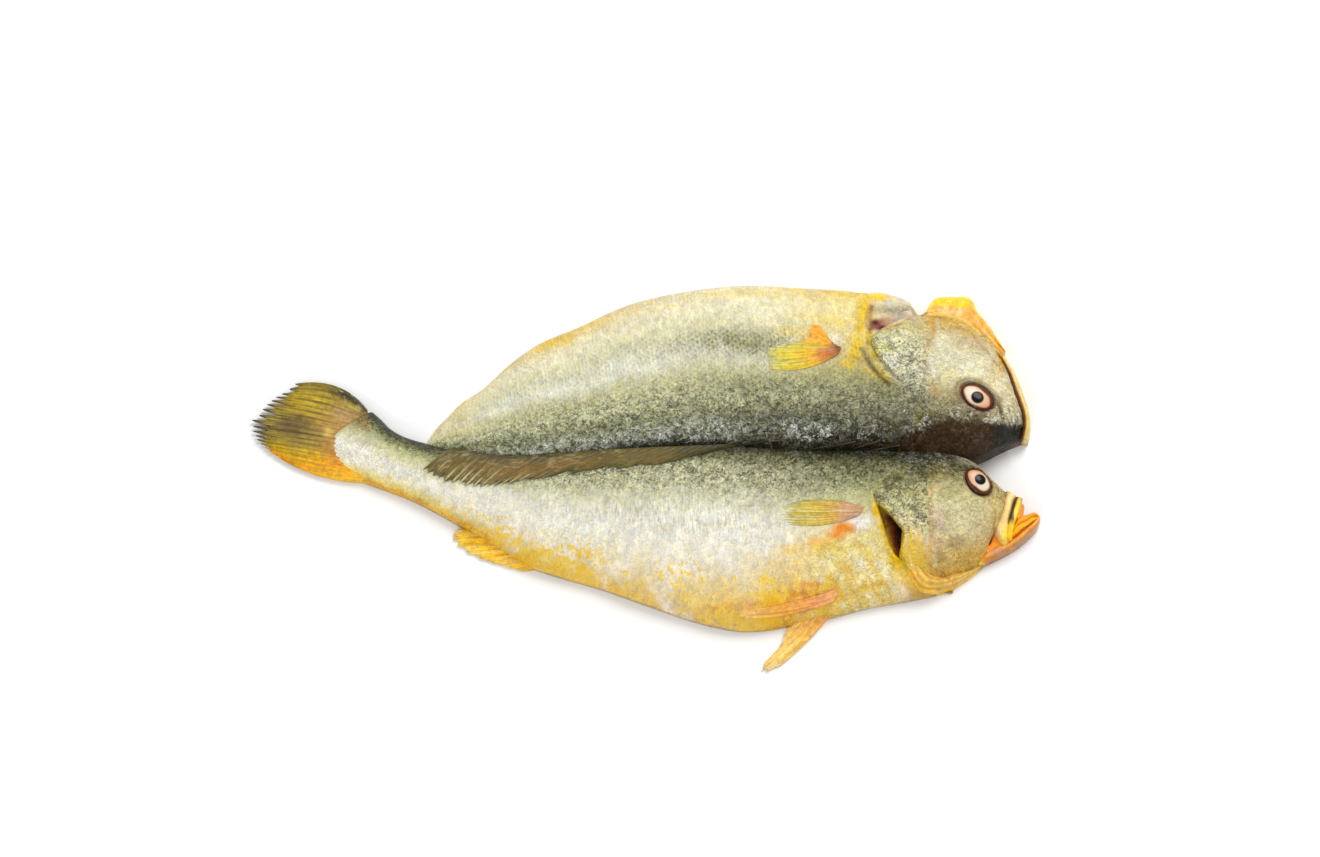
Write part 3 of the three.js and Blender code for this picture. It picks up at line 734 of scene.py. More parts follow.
def farColours(x, y):
    # skin of the far half: bands by the share c from back to belly, local patches, head and crown over them
    c = acrossOf(far, x, y)
    c = c + 0.022 * cloud(x, y, 14, 7) + 0.012 * cloud(x, y, 4, 8)
    # wide stretches or narrows the bands a little from place to place; lighter and darker patches follow
    wide = table((-84, 0.9), (-60, 0.92), (-44, 1.0), (-30, 1.06), (-10, 1.0), (25, 0.96), (143, 1.0))(x)
    tone = blendTo(ramp(farRamp, c * wide), ramp(farHeadRamp, c), smooth(36, 92, x))
    tone = blendTo(tone, tint(168, 166, 120),
        0.85 * bump(36, 24, x) * bump(0.6, 0.08, c) * smooth(-0.9, 0.3, cloud(x, y, 10, 9)))
    tone = blendTo(tone, tint(70, 70, 48), 0.7 * bump(50, 20, x) * bump(0.145, 0.055, c))
    tone = blendTo(tone, tint(34, 32, 16), 0.8 * bump(86, 13, x) * smooth(0.12, 0.075, c))
    tone = blendTo(tone, tint(132, 133, 98), 0.5 * bump(42, 20, x) * bump(0.34, 0.07, c))
    # painted highlight: a paler strip along the ridge towards the tail
    tone = blendTo(tone, tint(176, 182, 150), 0.5 * bump(-50, 14, x) * bump(0.13, 0.05, c))
    tone = blendTo(tone, tint(240, 222, 150), 0.4 * smooth(-56, -72, x) * smooth(0.3, 0.5, c))
    # painted sheen: a pale silvery patch in the middle of the flank
    tone = blendTo(tone, tint(240, 241, 226), 0.6 * bump(0.55, 0.06, c) * bump(-10, 16, x))
    # golden rim of the belly behind, and loose gold before it
    rimGold = (smooth(0.82, 0.96, c + 0.05 * cloud(x, y, 6, 10) - 0.06 * smooth(-10, 20, x))
        * smooth(-52, -36, x) * smooth(6, -34, x))
    tone = blendTo(tone, tint(245, 205, 74), 0.8 * rimGold)
    tone = blendTo(tone, tint(244, 206, 92),
        0.65 * smooth(0.9, 1.0, c) * smooth(30, 52, x) * smooth(-0.6, 0.5, cloud(x, y, 7, 11)))
    tone = paintSpots(tone, x, y, [
        (tint(250, 246, 226), 0.9, 71, 48.2, 4.2, 2.6), (tint(246, 214, 110), 0.7, 72.5, 56.5, 7, 3),
        (tint(244, 222, 140), 0.6, 66, 60, 9, 4), (tint(248, 232, 160), 0.6, 78, 66, 5, 6),
        (tint(244, 214, 80), 0.7, 78, 72, 9, 2.4), (tint(236, 206, 110), 0.6, 58, 53, 8, 3),
        (tint(246, 222, 130), 0.5, 40, 72, 22, 3),
    ])
    # head: gill cover (leaf), then cheek and throat (face) forward of it
    c2 = acrossOf(far, x, y) + 0.02 * cloud(x, y, 6, 13)
    face = ramp([
        (0.1, tint(60, 48, 28)), (0.155, tint(84, 70, 42)), (0.2, tint(112, 102, 70)),
        (0.26, tint(162, 154, 118)), (0.33, tint(180, 166, 122)), (0.4, tint(212, 200, 152)),
        (0.5, tint(234, 226, 184)), (0.62, tint(231, 224, 184)), (0.76, tint(220, 202, 150)),
        (0.84, tint(220, 188, 112)), (0.92, tint(226, 182, 84)), (1.0, tint(234, 184, 84)),
    ], c2)
    leaf = ramp([
        (0.1, tint(88, 86, 66)), (0.2, tint(110, 108, 84)), (0.33, tint(150, 150, 114)),
        (0.41, tint(220, 221, 196)), (0.5, tint(250, 250, 226)), (0.6, tint(250, 248, 214)),
        (0.66, tint(240, 238, 196)), (0.78, tint(222, 208, 150)), (0.86, tint(212, 198, 152)),
        (1.0, tint(228, 220, 198)),
    ], c2)
    leaf = blendTo(leaf, tint(94, 96, 68),
        0.5 * smooth(0.0, 0.8, cloud(x, y, 2.4, 14)) * smooth(0.8, 0.55, c2))
    leaf = blendTo(leaf, tint(198, 184, 88), 0.35 * smooth(-0.2, 0.8, cloud(x, y, 5, 15)))
    face = blendTo(face, tint(236, 226, 184),
        0.85 * smooth(126, 133, x) * smooth(0.12, 0.22, c2) * smooth(0.5, 0.38, c2))
    face = blendTo(face, tint(252, 242, 206), 0.85 * smooth(124, 132, x) * bump(0.52, 0.15, c2))
    forward = smooth(103, 110, x - 0.7 * cloud(x, y, 4, 16))
    face = blendTo(leaf, face, forward)
    headLine = np.interp(y, [3, 14, 24, 30, 34, 40, 46, 50, 54, 60],
        [93, 95, 98, 95, 90, 87, 85.5, 86, 90, 99])
    head = smooth(-3, 4, x - headLine) * smooth(0.1, 0.16, c2)
    tone = blendTo(tone, face, head)
    # crown and snout, nearly black against the cleft
    crownTo = table((40, 0.0), (60, 0.05), (90, 0.085), (100, 0.115), (108, 0.16), (113, 0.185),
        (121, 0.21), (127, 0.205), (131, 0.165), (137, 0.13), (143, 0.12))(x)
    crown = (smooth(46, 70, x)
        * smooth(0.014, -0.022, c - crownTo + 0.03 * cloud(x, y, 3.4, 12) + 0.012 * cloud(x, y, 1.2, 17)))
    crownTone = blendTo(tint(72, 50, 6) + 0 * tone, tint(34, 34, 6),
        smooth(106, 92, x + 0.5 * y) + smooth(128, 134, x + 1.5 * cloud(x, y, 6, 19)))
    tone = blendTo(tone, crownTone, 0.97 * crown)
    # painted shade: darkest along the cleft between the halves, behind and then forward of the middle
    tone = blendTo(tone, tint(52, 62, 46),
        0.9 * smooth(0.11, 0.03, c) * smooth(-84, -70, x) * smooth(40, 0, x))
    tone = blendTo(tone, tint(40, 38, 20), 0.9 * smooth(0.07, 0.03, c) * smooth(-10, 24, x) * (1 - crown))
    # folded spines and their skin, reddish brown in the dark crease
    tone = paintLines(tone, x, y, [
        (tint(92, 70, 40), 0.5, 0.8, [(30, 8.2), (46, 9.4), (62, 9), (78, 8.4), (92, 7.4)]),
        (tint(84, 62, 36), 0.4, 0.7, [(44, 6.8), (60, 7.2), (84, 6.4), (100, 6)]),
        (tint(20, 20, 12), 0.6, 0.8, [(38, 10), (44, 10.6), (50, 10.2)]),
        (tint(18, 18, 12), 0.5, 0.8, [(62, 8.2), (70, 8.4), (76, 7.8)]),
    ])
    tone = paintSpots(tone, x, y, [
        (tint(176, 168, 130), 0.5, 112, 24, 5, 4), (tint(238, 234, 206), 0.7, 114, 45, 5, 8),
        (tint(240, 238, 212), 0.65, 122, 38, 7, 5), (tint(228, 204, 172), 0.5, 126, 48, 5, 4),
        (tint(242, 240, 218), 0.75, 108, 38, 2, 6), (tint(214, 188, 120), 0.5, 133, 36, 4, 5),
        (tint(232, 214, 166), 0.6, 138, 28, 3.4, 7), (tint(214, 206, 90), 0.5, 92, 44, 4, 3),
        (tint(236, 232, 190), 0.6, 99, 50, 4, 3), (tint(120, 96, 58), 0.3, 134, 24, 2.4, 4),
        (tint(222, 172, 44), 0.9, 136.4, 42.6, 2.2, 5),
    ])
    tone = paintLines(tone, x, y, [
        (tint(204, 156, 84), 1.2, 0.5,
            [(110.6, 61.3), (110, 53.5), (107.3, 46.2), (105.9, 40.2), (107.2, 34.4), (108.1, 29.9),
                (110, 25)]),
        (tint(236, 226, 196), 0.8, 0.5,
            [(112.4, 60), (112, 53), (109.3, 46), (108, 40.2), (109.3, 34.4), (110, 30)]),
        (tint(206, 140, 84), 0.9, 0.6, [(117.1, 65.3), (123, 62.9), (128.6, 57), (132.4, 51.5)]),
        (tint(226, 186, 110), 0.7, 0.6, [(113, 63), (120, 60), (126, 54.5)]),
        (tint(198, 146, 74), 0.7, 0.6, [(116, 57), (122, 55), (127, 50), (131, 45), (134, 40)]),
        (tint(230, 230, 210), 0.45, 0.8, [(119.1, 21.1), (123, 19.3), (129.9, 18)]),
        (tint(92, 60, 34), 0.9, 0.85, [(133.4, 21.7), (134.3, 19.6), (134.9, 17)]),
        (tint(240, 202, 40), 2.9, 1.0,
            [(86, 72), (84.2, 66), (83, 60), (82.1, 51.6), (79.6, 42), (77, 38.3)]),
        # painted shade: a thin dark line where the snout meets the lower jaw
        (tint(92, 56, 14), 0.6, 0.9,
            [(136, 45.6), (138.2, 40.4), (140.4, 34.4), (142.2, 28.4), (143.8, 22), (144.2, 17),
                (143.4, 11)]),
        (tint(160, 108, 40), 1.1, 0.9, [(86.9, 66), (86.2, 56), (84.8, 47)]),
        (tint(222, 196, 56), 1.5, 1.0, [(86.0, 50), (85.7, 46.4), (86.5, 41), (88.6, 35.6), (91.5, 31)]),
        # painted shadow: a dark line just behind the free edge of the gill cover
        (tint(96, 76, 24), 1.1, 0.9, [(82.1, 44.2), (85.1, 37.1), (88.2, 32.6), (91.8, 29)]),
        (tint(226, 200, 90), 0.8, 0.8, [(75.9, 38.5), (79, 36.6), (83, 35.4), (87.5, 31.9)]),
        (tint(190, 140, 60), 0.6, 0.7, [(76.5, 42), (79.2, 40.6), (83.2, 38.4)]),
        (tint(210, 150, 80), 0.8, 0.6, [(88, 51.5), (96.2, 55.4), (103.3, 61.4)]),
    ])
    eye = eyeFrame("far", x, y)
    tone = blendTo(tone, tint(100, 64, 38), 0.85 * bump(1.06, 0.12, eye))
    tone = blendTo(tone, tint(150, 122, 84), 0.6 * bump(1.32, 0.16, eye))
    mottle = mix(1.7, 0.15, smooth(0.16, 0.52, c)) + 0.5 * bump(36, 24, x) * bump(0.6, 0.09, c)
    mottle = (mix(mottle,
        mix(mix(1.2, 0.45, smooth(0.2, 0.4, c2)), mix(1.35, 0.5, smooth(0.55, 0.85, c2)), 1 - forward),
        head) * mix(1, 0.6, crown))
    shown = smooth(112, 92, x) * (1 - 0.9 * head) * (1 - crown * 0.8) * smooth(0.0, 0.05, c)
    golden = (0.5 * smooth(0.78, 0.98, c) * smooth(-86, -70, x) * smooth(96, 70, x)
        * mix(1, 0.55, bump(15, 34, x)) + 0.35 * rimGold)
    golden = golden * mix(0.35, 1, smooth(-0.3, 0.4, cloud(x, y, 11, 18)))
    hearts = (smooth(0.82, 0.6, c) * mix(0.45, 0.25, bump(0.5, 0.05, c))
        + 0.7 * bump(0.6, 0.08, c) * bump(36, 26, x))
    # painted wet glints: thick above the crease and the crown, and on the dark side of the gill cover
    wetGlint = (bump(0.095, 0.035, c)
        * (5 * bump(21, 15, x) + 4.4 * bump(61, 10, x) + 0.5 * bump(84, 12, x) + 2.6 * bump(-30, 34, x)))
    wetGlint = wetGlint + 1.1 * smooth(96, 106, x) * bump(0.03, 0.035, c - crownTo)
    paintedGlint = 0.3 * smooth(0.42, 0.1, c) + wetGlint + 0.5 * head * smooth(0.6, 0.3, c2) * (1 - forward)
    touch = np.stack([mottle, 0.12 * smooth(0.3, 0.6, c) + 0 * x, paintedGlint * mix(1, 0.25, crown)], -1)
    return tone, np.stack([shown, golden, hearts], -1), touch


def nearColours(x, y):
    # skin of the near half: the same layers, with the root of the tail, the chest and the face over them
    c = acrossOf(near, x, y)
    c = c + 0.02 * cloud(x, y, 12, 20) + 0.012 * cloud(x, y, 4, 21)
    # wide stretches or narrows the bands a little from place to place; lighter and darker patches follow
    wide = table((-80, 1.2), (-50, 1.0), (-30, 0.92), (-6, 0.96), (30, 1.08), (60, 1.0), (140, 1.0))(x)
    tone = blendTo(ramp(nearRamp, np.clip(c * wide, 0, np.maximum(c, 0.72))), ramp(nearHeadRamp, c),
        smooth(38, 84, x))
    tone = blendTo(tone, ramp(tailRamp, c), smooth(-52, -88, x))
    tone = blendTo(tone, tint(50, 58, 40),
        0.9 * smooth(0.07, 0.02, c) * smooth(-104, -90, x) * smooth(-10, -40, x))
    tone = blendTo(tone, tint(66, 66, 40), 0.75 * smooth(0.09, 0.04, c) * smooth(0, 24, x))
    tone = blendTo(tone, tint(210, 210, 174), 0.55 * bump(15, 18, x) * bump(0.17, 0.05, c))
    tone = blendTo(tone, tint(236, 182, 30), 0.6 * bump(-53, 12, x) * smooth(0.86, 0.94, c))
    tone = blendTo(tone, tint(206, 142, 40), 0.75 * bump(64, 19, x) * smooth(0.88, 0.94, c))
    tone = blendTo(tone, tint(238, 188, 60), 0.5 * bump(70, 10, x) * bump(0.575, 0.05, c))
    # belly: golden along the edge behind, loose gold over the pale flank, amber rolls by the pelvic fin
    rimGold = smooth(0.93, 0.99, c + 0.03 * cloud(x, y, 5, 22)) * smooth(-116, -104, x) * smooth(10, -24, x)
    tone = blendTo(tone, tint(238, 176, 34), 0.9 * rimGold)
    loose = smooth(0.62, 0.92, c) * smooth(-64, -42, x) * smooth(108, 96, x)
    tone = blendTo(tone, tint(250, 216, 124), 0.45 * loose * smooth(-0.3, 0.5, cloud(x, y, 8, 23)))
    tone = blendTo(tone, tint(252, 242, 230), 0.7 * loose * smooth(0.1, -0.6, cloud(x, y, 8, 23)))
    tone = blendTo(tone, tint(238, 198, 96), 0.55 * bump(54, 16, x) * smooth(0.56, 0.7, c))
    tone = blendTo(tone, tint(232, 166, 44), 0.65 * bump(54, 18, x) * smooth(0.8, 0.88, c))
    chest = smooth(50, 74, x) * smooth(0.56, 0.66, c) * smooth(102, 90, x)
    tone = blendTo(tone, tint(250, 228, 142), 0.8 * chest)
    wrinkle = cloud(1.1 * (x + 0.8 * y), 0.3 * (y - 0.8 * x), 2.6, 24)
    tone = blendTo(tone, tint(253, 244, 206), 0.9 * chest * smooth(0.0, 0.6, wrinkle))
    tone = blendTo(tone, tint(236, 184, 62), 0.65 * chest * smooth(0.1, 0.7, -wrinkle))
    tone = paintSpots(tone, x, y, [
        (tint(252, 251, 242), 0.95, 80.4, -24.4, 6.4, 3.6),
        (tint(244, 150, 46), 1.0, 73.4, -27.6, 6.4, 3.2), (tint(248, 186, 84), 0.9, 65, -32.6, 7, 2.4),
        (tint(248, 214, 130), 0.7, 55, -35, 8, 2.4), (tint(238, 150, 58), 0.8, 61.5, -47.6, 9, 1.8),
        (tint(232, 150, 30), 0.8, 62, -50.6, 13, 1.9), (tint(232, 158, 40), 0.75, 44, -54.6, 12, 1.8),
        (tint(236, 176, 60), 0.7, 29, -56, 9, 2.4), (tint(238, 188, 60), 0.7, 81.7, -47.5, 4, 1.5),
        (tint(236, 184, 52), 0.6, 87, -46.6, 4, 1.4), (tint(246, 226, 120), 0.6, 70, -34, 9, 2.4),
        (tint(250, 236, 170), 0.7, 78, -31, 6, 3), (tint(250, 240, 200), 0.6, 62, -27, 8, 2),
        (tint(214, 186, 160), 0.5, 30, -60.4, 14, 1.1),
    ])
    tone = paintLines(tone, x, y, [
        (tint(246, 206, 44), 2.5, 1.0,
            [(86.8, -17.8), (88.0, -21.5), (89.4, -26), (90.9, -31.5), (92.8, -36), (94.6, -39.5)]),
        (tint(240, 196, 70), 1.0, 0.6, [(90.6, -37.5), (94.4, -43), (98, -47)]),
        (tint(196, 186, 104), 1.6, 0.6, [(84.6, -17), (86, -12.6), (89.5, -9)]),
    ])
    # head: olive behind the eye, tan cheek, golden brown below
    c2 = acrossOf(near, x, y) + 0.022 * cloud(x, y, 6, 25)
    leaf = ramp([
        (0.0, tint(38, 36, 18)), (0.07, tint(46, 44, 26)), (0.14, tint(100, 98, 68)),
        (0.21, tint(122, 118, 80)), (0.28, tint(182, 181, 132)), (0.34, tint(204, 202, 152)),
        (0.44, tint(206, 202, 152)), (0.52, tint(236, 226, 182)), (0.6, tint(240, 218, 160)),
        (0.7, tint(236, 200, 104)), (0.82, tint(228, 184, 66)), (1.0, tint(214, 170, 62)),
    ], c2)
    leaf = blendTo(leaf, tint(92, 94, 58),
        0.5 * smooth(0.0, 0.8, cloud(x, y, 2.4, 26)) * smooth(0.7, 0.45, c2))
    leaf = blendTo(leaf, tint(206, 190, 90), 0.4 * smooth(-0.2, 0.8, cloud(x, y, 4.5, 27)))
    face = ramp([
        (0.0, tint(66, 61, 32)), (0.08, tint(86, 83, 54)), (0.14, tint(114, 110, 72)),
        (0.22, tint(152, 140, 88)), (0.32, tint(222, 210, 156)), (0.42, tint(224, 215, 160)),
        (0.56, tint(224, 210, 162)), (0.7, tint(226, 208, 160)), (0.82, tint(218, 184, 108)),
        (0.9, tint(214, 168, 74)), (1.0, tint(188, 146, 48)),
    ], c2)
    face = blendTo(face, tint(200, 192, 158), 0.8 * smooth(114, 122, x) * smooth(0.14, 0.06, c2))
    face = blendTo(face, tint(232, 204, 128), 0.7 * smooth(124, 131, x) * smooth(0.85, 0.6, c2))
    forward = smooth(103.5, 109, x - 0.7 * cloud(x, y, 4, 28))
    face = blendTo(leaf, face, forward)
    headLine = np.interp(y, [-50, -46, -42, -37.6, -35, -30, -24, -20, -16, -12, -8, -4, 6],
        [112, 107, 101, 97, 95.6, 96, 94, 91, 88, 87, 90, 95, 103])
    head = smooth(-1.5, 2.5, x - headLine)
    tone = blendTo(tone, face, head)
    tone = paintSpots(tone, x, y, [
        (tint(206, 150, 118), 0.6, 110.1, -23.1, 2.4, 4), (tint(214, 160, 130), 0.5, 108.6, -31.5, 2, 4),
        (tint(150, 118, 66), 0.5, 115.4, -31.2, 4, 3), (tint(138, 108, 52), 0.45, 110.6, -36.6, 3.4, 2.4),
        (tint(232, 214, 196), 0.6, 109.6, -22, 3, 6), (tint(222, 216, 172), 0.7, 118, -22, 6, 6),
        (tint(226, 216, 168), 0.6, 127, -20, 4, 5), (tint(188, 186, 132), 0.6, 114, -12, 4, 5),
        (tint(150, 146, 84), 0.5, 117.6, -5, 3, 3), (tint(226, 222, 190), 0.6, 104.6, -29, 1.8, 6),
        (tint(196, 186, 84), 0.6, 131, -6, 3, 2), (tint(204, 174, 90), 0.6, 121, -36, 5, 2.6),
        (tint(226, 200, 120), 0.6, 128.4, -30.4, 3, 1.6),
    ])
    tone = paintLines(tone, x, y, [
        (tint(214, 160, 104), 1.1, 0.5,
            [(107.2, -11.1), (106.4, -19), (108, -25.6), (105.7, -33.5), (106.3, -39.6), (111.2, -43.4)]),
        (tint(232, 226, 190), 0.8, 0.5,
            [(109, -12), (108.2, -19), (109.8, -25.6), (107.6, -33.5), (108.4, -39)]),
        (tint(236, 202, 70), 1.4, 0.9, [(98.1, -29), (99.5, -34.5), (101.3, -39.5), (105, -44)]),
        # painted shade: a dark line along the upper edge of the gill cover
        (tint(70, 66, 34), 0.9, 0.7, [(95, -7.4), (91.6, -11), (89.4, -14.6), (88.6, -17.6)]),
        (tint(96, 78, 42), 0.7, 0.6, [(130.8, -4.6), (134.4, -8), (136.6, -10.6)]),
        (tint(170, 140, 84), 0.6, 0.6, [(128.6, -14.4), (131.4, -18.6), (130.4, -24)]),
    ])
    tone = blendTo(tone, tint(160, 134, 76),
        0.8 * smooth(-100, -105, x + 0.12 * y + 0.8 * cloud(x, y, 3, 26)) * smooth(0.5, 0.3, c)
        * smooth(0.1, 0.2, c))
    eye = eyeFrame("near", x, y)
    tone = blendTo(tone, tint(112, 74, 40), 0.85 * bump(1.06, 0.11, eye))
    mottle = mix(1.6, 0.16, smooth(0.14, 0.42, c)) + 0.3 * chest
    mottle = (mix(mottle,
        mix(mix(1.35, 0.35, smooth(0.5, 0.7, c2)), mix(1.2, 0.5, smooth(0.12, 0.34, c2)), forward), head)
        + 0.1 * smooth(-60, -90, x))
    shown = smooth(104, 86, x) * (1 - 0.9 * head) * (1 - 0.7 * chest)
    golden = (0.9 * smooth(0.55, 0.93, c) * smooth(-112, -84, x) * smooth(98, 76, x)
        * mix(0.5, 1, smooth(-0.3, 0.4, cloud(x, y, 12, 29))))
    golden = (golden
        * table((-110, 0.6), (-72, 0.8), (-54, 1.5), (-36, 0.88), (-12, 0.98), (10, 0.74), (30, 0.88),
            (50, 1.25), (80, 0.95))(x))
    hearts = smooth(0.34, 0.14, c) * 0.5 + 0.05
    streak = 0.6 * bump(0.46, 0.17, c) * bump(10, 45, x)
    # painted wet glints: along the back edge and on the face
    paintedGlint = smooth(0.28, 0.04, c) * 0.2 + 0.25 * head * smooth(0.7, 0.2, c2)
    return tone, np.stack([shown, golden, hearts], -1), np.stack([mottle, streak, paintedGlint], -1)


def socketRelief(side, x, y):
    # hollow under the eyeball with a raised soft lid round it
    eye = eyeFrame(side, x, y)
    return 0.55 * bump(1.2, 0.16, eye) - 2.6 * smooth(1.06, 0.8, eye)


def openingTones(tone, x, y):
    # far gill opening: whitish grey flap, yellow upper corner, rosy inside, with painted shade as dark spots
    # where it goes deepest
    return paintSpots(tone, x, y, [
        (tint(222, 214, 188), 1.0, 95, 67, 8, 5), (tint(200, 190, 174), 1.0, 98, 62.6, 7, 4),
        (tint(242, 206, 56), 1.0, 90.6, 71.6, 5, 2.6), (tint(196, 140, 118), 1.0, 92, 57.4, 6, 4.4),
        (tint(140, 82, 72), 0.9, 89.4, 57.8, 4.2, 3.6), (tint(80, 34, 40), 1.0, 88, 58.8, 2.1, 2),
        (tint(92, 40, 44), 0.95, 90.8, 56.2, 2.2, 1.5),
    ])


def pitTones(side, tone, x, y):
    # inside of the gill openings: the near one amber towards its yellow rim and darker inward, painted shade
    # under the cover
    if side == "far":
        return openingTones(tone, x, y)
    rim = [(87, -18.5), (88.6, -23), (90.6, -30), (92.4, -35), (96.4, -40.6), (100.5, -44)]
    tone = paintLines(tone, x, y, [(tint(236, 192, 26), 2.4, 1.0, rim)])
    left = np.interp(y, [-40, -36.5, -34.6, -29.9, -22.5, -19.5, -17.5],
        [97, 94.2, 93.2, 91.8, 90.2, 88.8, 89.2])
    inward = x - left + 0.3 * cloud(x, y, 2, 33)
    deep = smooth(-0.2, 0.6, inward) * smooth(-39, -35.5, y) * smooth(-17.8, -20.4, y) * smooth(99, 97.5, x)
    shadeUnderCover = ramp([(0.3, tint(214, 140, 30)), (1.6, tint(150, 78, 16)), (2.8, tint(76, 32, 10)),
        (4.5, tint(48, 20, 8))], inward + 0.5 * cloud(0.4 * x, 2 * y, 2, 34))
    return blendTo(tone, shadeUnderCover, deep)


halfLook = {"scaleHeight": 0.06, "lipHeight": 0.7, "edgeFade": 0.03, "least": 0.7, "hollowFade": 0.06,
    "fleshStep": 3}


def makeHalf(name, side, half, colours, columns, rows):
    # skin: smooth height plus relief along the normal, less sockets and gill pit; fewer points below
    x, y, u, v = halfGrid(half, columns, rows)
    z = skinHeight(half, x, y)
    smoothSkin = np.stack([x, y, z], -1)
    normal = normalsOf(smoothSkin)
    lattice = latticeOf(smoothSkin)
    tone, marks, touch = colours(x, y)
    tone = pitTones(side, tone, x, y)
    shown = marks[..., 0]
    inside = scalePattern(lattice[..., 0], lattice[..., 1])
    # scales stand up towards their free edge; soft dents and folds of the flesh under them
    relief = shown * halfLook["scaleHeight"] * (1 - inside / scaleShape["reach"]) * smooth(0, 0.12, inside)
    relief = relief + softRelief(x, y)
    pitFrom, pitTo, depth = half["pit"]
    inPit = smooth(pitFrom - 1.5, pitFrom + 3, y) * smooth(pitTo + 1.5, pitTo - 3, y)
    inPit = inPit * smooth(-0.4, 1.8, x - half["rim"](y)) * smooth(6, 2.5, x - half["cover"](y))
    lip = (halfLook["lipHeight"] * bump(-1.6, 1.3, x - half["rim"](y)) * smooth(pitFrom - 6, pitFrom, y)
        * smooth(pitTo + 6, pitTo, y))
    edgeFade = np.clip(np.minimum(v, 1 - v) / halfLook["edgeFade"], 0, 1)
    relief = (relief + lip) * mix(0.2, 1, edgeFade)
    top = smoothSkin + normal * relief[..., None]
    top[..., 2] += socketRelief(side, x, y) - depth * inPit
    top[..., 2] = np.maximum(top[..., 2], halfLook["least"])
    # underside: cut flesh, hollowed a little between its edges, with the marks of ribs and muscle
    deep = 4 * v * (1 - v) * np.clip(np.minimum(u, 1 - u) / halfLook["hollowFade"], 0, 1)
    bottom = np.stack([x, y, 0 * x], -1)
    hollow = underRelief(x, y, deep)
    bottom[..., 2] = np.minimum(hollow, 0.55 * top[..., 2])
    under = underColours(x, y, v + 0 * u)
    step = halfLook["fleshStep"]
    keepRows = np.unique(np.append(np.arange(0, rows, step), rows - 1))
    keepColumns = np.unique(np.append(np.arange(0, columns, step), columns - 1))
    kept = np.ix_(keepRows, keepColumns)
    return assembleHalf(name, top, bottom[kept], under[kept], tone, marks, touch, lattice, keepRows,
        keepColumns)


def assembleHalf(name, top, bottom, under, tone, marks, touch, lattice, keepRows, keepColumns):
    # dense skin above, coarser flesh below; along the border every third skin point meets a flesh point
    rows, columns = top.shape[:2]
    r, c = bottom.shape[:2]
    count = rows * columns
    upper = np.arange(count).reshape(rows, columns)
    lower = count + np.arange(r * c).reshape(r, c)
    flip = np.cross(top[0, -1] - top[0, 0], top[-1, 0] - top[0, 0])[2] < 0
    groups = [gridFaces(rows, columns), gridFaces(r, c, count, True)]
    for fine, coarse, keep, turn in (
        (upper[0], lower[0], keepColumns, False), (upper[-1], lower[-1], keepColumns, True),
        (upper[:, 0], lower[:, 0], keepRows, True), (upper[:, -1], lower[:, -1], keepRows, False),
    ):
        triangles = []
        for k in range(len(keep) - 1):
            run = fine[keep[k]:keep[k + 1] + 1]
            half = len(run) // 2
            triangles += [(run[i + 1], run[i], coarse[k]) for i in range(half)]
            triangles.append((run[half], coarse[k], coarse[k + 1]))
            triangles += [(run[i + 1], run[i], coarse[k + 1]) for i in range(half, len(run) - 1)]
        triangles = np.array(triangles)
        groups.append(triangles[:, ::-1] if turn else triangles)
    if flip:
        groups = [g[:, ::-1] for g in groups]
    points = np.concatenate([top.reshape(-1, 3), bottom.reshape(-1, 3)])
    tones = np.concatenate([tone.reshape(-1, 3), under.reshape(-1, 3)])
    marks, touch = (np.concatenate([layer.reshape(-1, 3), np.zeros((r * c, 3))]) for layer in (marks, touch))
    uv = np.concatenate([lattice.reshape(-1, 2), np.zeros((r * c, 2))])
    piece = makePiece(name, points, groups, skin, tones, marks, uv, touch=touch)
    piece.data.materials.append(flesh)
    below = np.zeros(len(piece.data.polygons), np.int32)
    first = len(groups[0])
    below[first:first + len(groups[1])] = 1
    piece.data.polygons.foreach_set("material_index", below)
    return piece


def underRelief(x, y, deep):
    # height of the hollow below: deep (0 at the edges) times a hollow with ribs and a slow waver
    ribs = 0.35 * np.sin((x + 0.35 * np.abs(y)) * 2 * np.pi / 5.6) * smooth(-40, -10, x) * smooth(96, 80, x)
    return deep * (2.2 + ribs + 0.4 * cloud(x, y, 9, 40))


def underColours(x, y, v):
    # pale flesh with rosy ribs, blood along the spine, dark skin at the back edge and tan at the belly edge
    tone = blendTo(np.zeros(x.shape + (3,)) + tint(226, 196, 168), tint(236, 216, 190),
        smooth(-0.4, 0.6, cloud(x, y, 10, 41)))
    rib = (smooth(0.2, 0.9, np.sin((x + 0.35 * np.abs(y)) * 2 * np.pi / 5.6)) * smooth(-40, -10, x)
        * smooth(96, 80, x))
    tone = blendTo(tone, tint(206, 150, 122), 0.5 * rib)
    tone = blendTo(tone, tint(150, 70, 54), 0.7 * bump(0.05, 0.05, v) * smooth(-90, -60, x))
    tone = blendTo(tone, tint(64, 52, 30), smooth(0.04, 0.0, v))
    tone = blendTo(tone, tint(214, 186, 130), 0.8 * smooth(0.85, 1.0, v))
    return blendTo(tone, tint(190, 110, 84), 0.6 * smooth(96, 110, x) * smooth(-0.3, 0.5, cloud(x, y, 6, 42)))


nearBody = makeHalf("near_half", "near", near, nearColours, 500, 134)
farBody = makeHalf("far_half", "far", far, farColours, 440, 152)
print("halves made")

# gill covers, gill folds and jaws
def groundOf(half):
    # height of a half's skin with its dents, as a function of x and y
    return lambda x, y: skinHeight(half, x, y) + softRelief(x, y)


nearSkin, farSkin = groundOf(near), groundOf(far)
coverLook = {"lift": 1.7, "near": (-47, -4), "far": (29, 61)}


